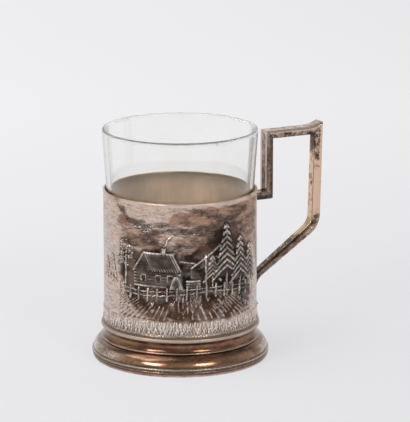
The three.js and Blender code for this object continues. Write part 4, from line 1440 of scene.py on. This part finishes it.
def makeBar(name, cuts, wear):
    full, lipDepth = handleShape["thickness"], handleShape["lipDepth"]
    section = barSection()
    middle = section.mean(0)
    depth, across = section[:, 0], np.abs(section[:, 1])
    # how far each point of the section is on the face, its line, the finger side and the lip
    onFace = (depth < 0.01).astype(float)
    onLine = onFace * (across > handleShape["outerWidth"] / 2 - handleShape["line"] - 0.01)
    onFinger = np.clip((depth - full + handleShape["fingerEdge"]) / handleShape["fingerFade"], 0, 1)
    fromLip = np.abs(depth - lipDepth * handleShape["lipMiddle"]) / lipDepth
    onLip = np.clip(handleShape["lipMost"] - fromLip, 0, 1) * (1 - onFace)
    bevelled = 1 - 2 * handleShape["bevel"] / handleShape["fingerWidth"]
    rings, polishAndPaintedLight, warm = [], [], []
    for number, (outer, finger, share) in enumerate(cuts):
        sides = ("side", "face", "line", "lip", "finger")
        side, face, line, lip, inner = (wearAt(wear[key], outer[1]) for key in sides)
        bare = side + (lip - side) * onLip + (inner - side) * onFinger
        polishAndPaintedLight.append(bare + (face - bare) * onFace + (line - face) * onLine)
        warm.append(np.full(len(section), wearAt(wear["warm"], outer[1])))
        outer, finger = np.array(outer), np.array(finger)
        inset = bevelled if number in (0, len(cuts) - 1) else 1.0
        shape = middle + (section - middle) * inset
        flat = outer + (finger - outer) * (shape[:, :1] / full)
        rings.append(np.column_stack([flat[:, 0] + axisX, shape[:, 1] * share, flat[:, 1]]))
    count = len(section)
    faces = []
    for cut in range(len(cuts) - 1):
        for corner in range(count):
            near, nearNext = cut * count + corner, cut * count + (corner + 1) % count
            faces.append((near, near + count, nearNext + count, nearNext))
    last = (len(cuts) - 1) * count
    faces.append(tuple(range(count)))
    faces.append(tuple(range(last + count - 1, last - 1, -1)))
    mesh = bpy.data.meshes.new(name)
    mesh.from_pydata((np.concatenate(rings) * mm).tolist(), [], faces)
    mesh.materials.append(handleSilver)
    mesh.polygons.foreach_set("use_smooth", np.ones(len(mesh.polygons), bool))
    setAttribute(mesh, "polishAndPaintedLight", np.concatenate(polishAndPaintedLight))
    setAttribute(mesh, "warm", np.concatenate(warm))
    setAttribute(mesh, "spots", np.full(len(mesh.vertices), wear["spots"]))
    closeUp(mesh)
    mesh.set_sharp_from_angle(angle=math.radians(handleShape["crispAngle"]))
    markEdges(mesh, handleShape["edge"], 1)
    return linked(name, mesh)


def between(first, last, count):  # even cuts along a straight bar, with one close to each end
    near = handleShape["bevel"] / math.dist(first[0], last[0])

    def mix(a, b, t):
        return tuple(x + (y - x) * t for x, y in zip(a, b))

    shares = [0.0, near, *np.linspace(0, 1, count)[1:-1], 1 - near, 1.0]
    return [(mix(first[0], last[0], t), mix(first[1], last[1], t), 1.0) for t in shares]


def handleNode(name):  # the upright outline of a handle piece: out from the axis and up, in mm
    low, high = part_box(name)
    return low.x / mm - axisX, high.x / mm - axisX, low.z / mm, high.z / mm


thick, gap = handleShape["thickness"], handleShape["mitre"]
seat = wallRadius - handleShape["sink"]
armBottom, armTop = handleNode("handle_upper_arm")[2:]
postIn = handleNode("handle_inner_post")[0]
barBottom, thumbTop = handleNode("handle_top_bar")[2:]
gripOut, tipHeight = handleNode("handle_grip_bar")[1:3]
postOut, barTop = postIn + thick, barBottom + thick


def armCuts():  # a little wider where it meets the wall
    shape = handleShape
    end = (postIn - gap, armTop), (postOut - gap, armBottom)

    def flare(out):
        return 1.0 + shape["armFlare"] * max(0, 1 - (out - seat) / shape["armFlareLength"]) ** 2

    cuts = between(((seat, armTop), (seat, armBottom)), end, cutCounts["arm"])
    return [(outer, finger, flare(outer[0])) for outer, finger, _ in cuts]


def postCuts():
    low = (postIn, armTop + gap), (postOut, armBottom + gap)
    high = (postIn, barTop - gap), (postOut, barBottom - gap)
    return between(low, high, cutCounts["post"])


def topCuts():  # swept up at its far end as a thumb rest
    length = handleShape["thumbLength"]
    sweep, rise = gripOut - length, thumbTop - barTop
    start = (postIn + gap, barTop), (postOut + gap, barBottom)
    cuts = between(start, ((sweep, barTop), (sweep, barBottom)), cutCounts["top"])[:-2]
    nearEnd = 0.985
    for share in [*np.linspace(0, 1, cutCounts["thumb"])[:-1], nearEnd, 1.0]:
        out = sweep + length * share - gap
        inside = sweep + (length - thick) * share - gap
        cuts.append(((out, barTop + rise * share ** 2), (inside, barBottom), 1.0))
    return cuts


def gripCuts():  # down to the elbow, along the slant, round the bend and down the wall
    shape = handleShape
    radius, bendRadius, tailThick = shape["elbowRadius"], shape["tailBend"], shape["tailThickness"]
    elbow = (gripOut - shape["gripLean"] - radius, roundNode("rim_wire")[2] - shape["elbowBelowRim"])
    tailOut = wallRadius + shape["tailGap"] + tailThick
    bendAt = (tailOut + bendRadius, roundNode("base_bead")[2] + shape["tailTopAboveBead"])
    run, drop = elbow[0] - bendAt[0], elbow[1] - bendAt[1]
    slant = math.atan2(drop, run) - math.asin((radius + bendRadius) / math.hypot(run, drop))
    turn = math.pi / 2 - slant
    slantLength = math.sqrt(run ** 2 + drop ** 2 - (radius + bendRadius) ** 2)
    elbowLength = radius * turn
    tailShare = shape["tailLipWidth"] / shape["lipWidth"]

    def tapered(whole, tail, along):
        return tail + (whole - tail) * (1 - along / (elbowLength + slantLength))

    def onElbow(reach, angle):
        return (elbow[0] + reach * math.cos(angle), elbow[1] - reach * math.sin(angle))

    def onBend(reach, angle):
        return (bendAt[0] - reach * math.cos(angle), bendAt[1] + reach * math.sin(angle))

    start = (gripOut, thumbTop - gap), (gripOut - thick, barBottom - gap)
    cuts = between(start, (onElbow(radius, 0), onElbow(radius - thick, 0)), cutCounts["grip"])[:-2]
    for angle in np.linspace(0, turn, cutCounts["elbow"]):
        thin, wide = (tapered(*ends, radius * angle) for ends in ((thick, tailThick), (1, tailShare)))
        cuts.append((onElbow(radius, angle), onElbow(radius - thin, angle), wide))
    foot = onElbow(radius, turn)
    for down in np.linspace(0, slantLength, cutCounts["slant"])[1:-1]:
        thin, wide = (tapered(*ends, elbowLength + down) for ends in ((thick, tailThick), (1, tailShare)))
        outer = (foot[0] - down * math.cos(slant), foot[1] - down * math.sin(slant))
        finger = (outer[0] - thin * math.sin(slant), outer[1] + thin * math.cos(slant))
        cuts.append((outer, finger, wide))
    for angle in np.linspace(turn, 0, cutCounts["bend"]):
        sunk = bendRadius + tailThick + (tailOut - seat - tailThick) * (1 - angle / turn)
        cuts.append((onBend(bendRadius, angle), onBend(sunk, angle), tailShare))
    tailTop = bendAt[1]
    for share in np.linspace(0, 1, cutCounts["tail"])[1:]:
        level = tailTop + (tipHeight - tailTop) * share
        low = max(0.0, 1 - (level - tipHeight) / shape["tailFlareHeight"])
        flare = shape["tailFlare"] * low ** shape["tailFlareBend"]
        cuts.append(((tailOut + flare, level), (seat, level), tailShare))
    outer, finger, share = cuts.pop()
    bevel = shape["bevel"]
    cuts.append(((outer[0], outer[1] + bevel), (finger[0], finger[1] + bevel), share))
    cuts.append((outer, finger, share))
    return cuts


handleBars = (
    (makeBar("handleUpperArm", armCuts(), postWearAndShade), "handle_upper_arm"),
    (makeBar("handleInnerPost", postCuts(), postWearAndShade), "handle_inner_post"),
    (makeBar("handleTopBar", topCuts(), topWear), "handle_top_bar"),
    (makeBar("handleGripBar", gripCuts(), gripWearAndHighlight), "handle_grip_bar"),
)
for handleBar, node in handleBars:
    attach(handleBar, "holder")
    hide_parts(node)
print("handle made")


# Studio: pale floor, two soft boxes in front and one above, a dim room behind the camera and a pale
# backdrop. Lengths here are in metres.

studio = {
    "floor": 6.0, "floorTone": (146, 146, 147), "floorRoughness": 0.9, "glowTone": (252, 252, 255),
    "glow": (-0.14, 0.65, 0.6, 0.716), "glowAcross": 0.12, "acrossMost": 0.3,  # more far away and at the left
    "worldTone": (1.0, 0.99, 0.985, 1.0), "backLift": 0.25, "pale": (-0.35, 0.25), "paleWorld": 0.86,
    "dimWorld": 0.47, "worldFill": 0.36, "roomTop": (0.45, 0.85, 1.0, 0.42),
    "sideAt": 0.62, "sideDip": (0.0, 0.24, 0.55, 1.0),
}
lampAim = Vector((axisX * mm, 0, 0.05))
lamps = {
    "leftSoftBox": {"turn": -38.0, "lift": 24.0, "distance": 1.3, "size": (0.46, 0.21), "power": 3.9},
    "rightSoftBox": {"turn": 33.0, "lift": 24.0, "distance": 1.3, "size": (0.46, 0.21), "power": 3.3},
    "topSoftBox": {"turn": -75.0, "lift": 62.0, "distance": 1.5, "size": (1.0, 1.0), "power": 5.0},
}
view = {
    "place": (-556.1, -1117.1, 368.6), "pitch": 13.5, "lens": 233.43, "sensor": 36.0, "clip": (0.05, 50.0),
}
sinTurn, cosTurn = math.sin(math.radians(photoTurn)), math.cos(math.radians(photoTurn))


def seenRays(nodes):  # 1 for rays that show the background: straight, mirrored or through glass
    rays = nodes.put("ShaderNodeLightPath").outputs
    seen = nodes.calc("MAXIMUM", rays["Is Camera Ray"], rays["Is Glossy Ray"])
    return nodes.calc("MAXIMUM", seen, rays["Is Transmission Ray"])


def makeFloor():
    size = studio["floor"]
    mesh = bpy.data.meshes.new("studioFloor")
    corners = [(-size, -size, 0), (size, -size, 0), (size, size, 0), (-size, size, 0)]
    mesh.from_pydata(corners, [], [(0, 1, 2, 3)])
    paint = Finish("floorPaint", studio, Roughness=studio["floorRoughness"], **{
        "Base Color": srgb(*studio["floorTone"]), "Specular IOR Level": 0.0,
        "Emission Color": srgb(*studio["glowTone"]),
    })
    place = paint.put("ShaderNodeTexCoord").outputs["Object"]
    glow = paint.stretch("glow", paint.along(place, (sinTurn, cosTurn, 0)))
    across = paint.along(place, (cosTurn, -sinTurn, 0))
    side = paint.held(across, -studio["acrossMost"], studio["acrossMost"])
    glow = paint.minus(glow, paint.times(side, studio["glowAcross"]))
    paint.tree.links.new(paint.times(seenRays(paint), glow), paint.shader.inputs["Emission Strength"])
    mesh.materials.append(paint.material)
    floor = linked("studioFloor", mesh)


def makeWorld():
    world = bpy.data.worlds.new("studioWorld")
    world.use_nodes = True
    nodes = Nodes(world.node_tree)
    shader = world.node_tree.nodes["Background"]
    direction = nodes.put("ShaderNodeTexCoord").outputs["Generated"]
    facing = nodes.along(direction, (sinTurn, cosTurn, studio["backLift"]))
    pale = nodes.spread(facing, *studio["pale"], studio["dimWorld"], studio["paleWorld"])
    aside = nodes.calc("ABSOLUTE", nodes.minus(facing, studio["sideAt"]))
    pale = nodes.times(pale, nodes.spread(aside, *studio["sideDip"]))
    pale = nodes.times(pale, nodes.spread(nodes.parts(direction)[2], *studio["roomTop"]))
    depth = nodes.put("ShaderNodeLightPath").outputs["Transmission Depth"]
    pale = nodes.mixed(nodes.calc("MINIMUM", depth, 1.0), pale, studio["paleWorld"])
    strength = nodes.mixed(seenRays(nodes), studio["worldFill"], pale)
    shader.inputs["Color"].default_value = studio["worldTone"]
    world.node_tree.links.new(strength, shader.inputs["Strength"])
    scene.world = world


def makeLamp(name, turn, lift, distance, size, power):
    lamp = bpy.data.lights.new(name, "AREA")
    lamp.shape = "RECTANGLE"
    lamp.size, lamp.size_y, lamp.energy = *size, power
    lift, angle = math.radians(lift), frontAngle + math.radians(turn)
    back = Vector((math.cos(angle) * math.cos(lift), math.sin(angle) * math.cos(lift), math.sin(lift)))
    box = linked(name, lamp)
    box.location = lampAim + back * distance
    box.rotation_euler = (-back).to_track_quat("-Z", "Y").to_euler()


def makeCamera():  # its place is in mm from the cup's axis
    camera = bpy.data.cameras.new("photoCamera")
    camera.lens, camera.sensor_width = view["lens"], view["sensor"]
    camera.clip_start, camera.clip_end = view["clip"]
    eye = linked("photoCamera", camera)
    out, away, up = view["place"]
    eye.location = ((out + axisX) * mm, away * mm, up * mm)
    eye.rotation_euler = (math.radians(90 - view["pitch"]), 0, math.radians(-photoTurn))
    scene.camera = eye


makeFloor()
makeWorld()
for lampName, lampValues in lamps.items():
    makeLamp(lampName, **lampValues)
makeCamera()
scene.view_settings.view_transform = "Standard"
print("studio set")
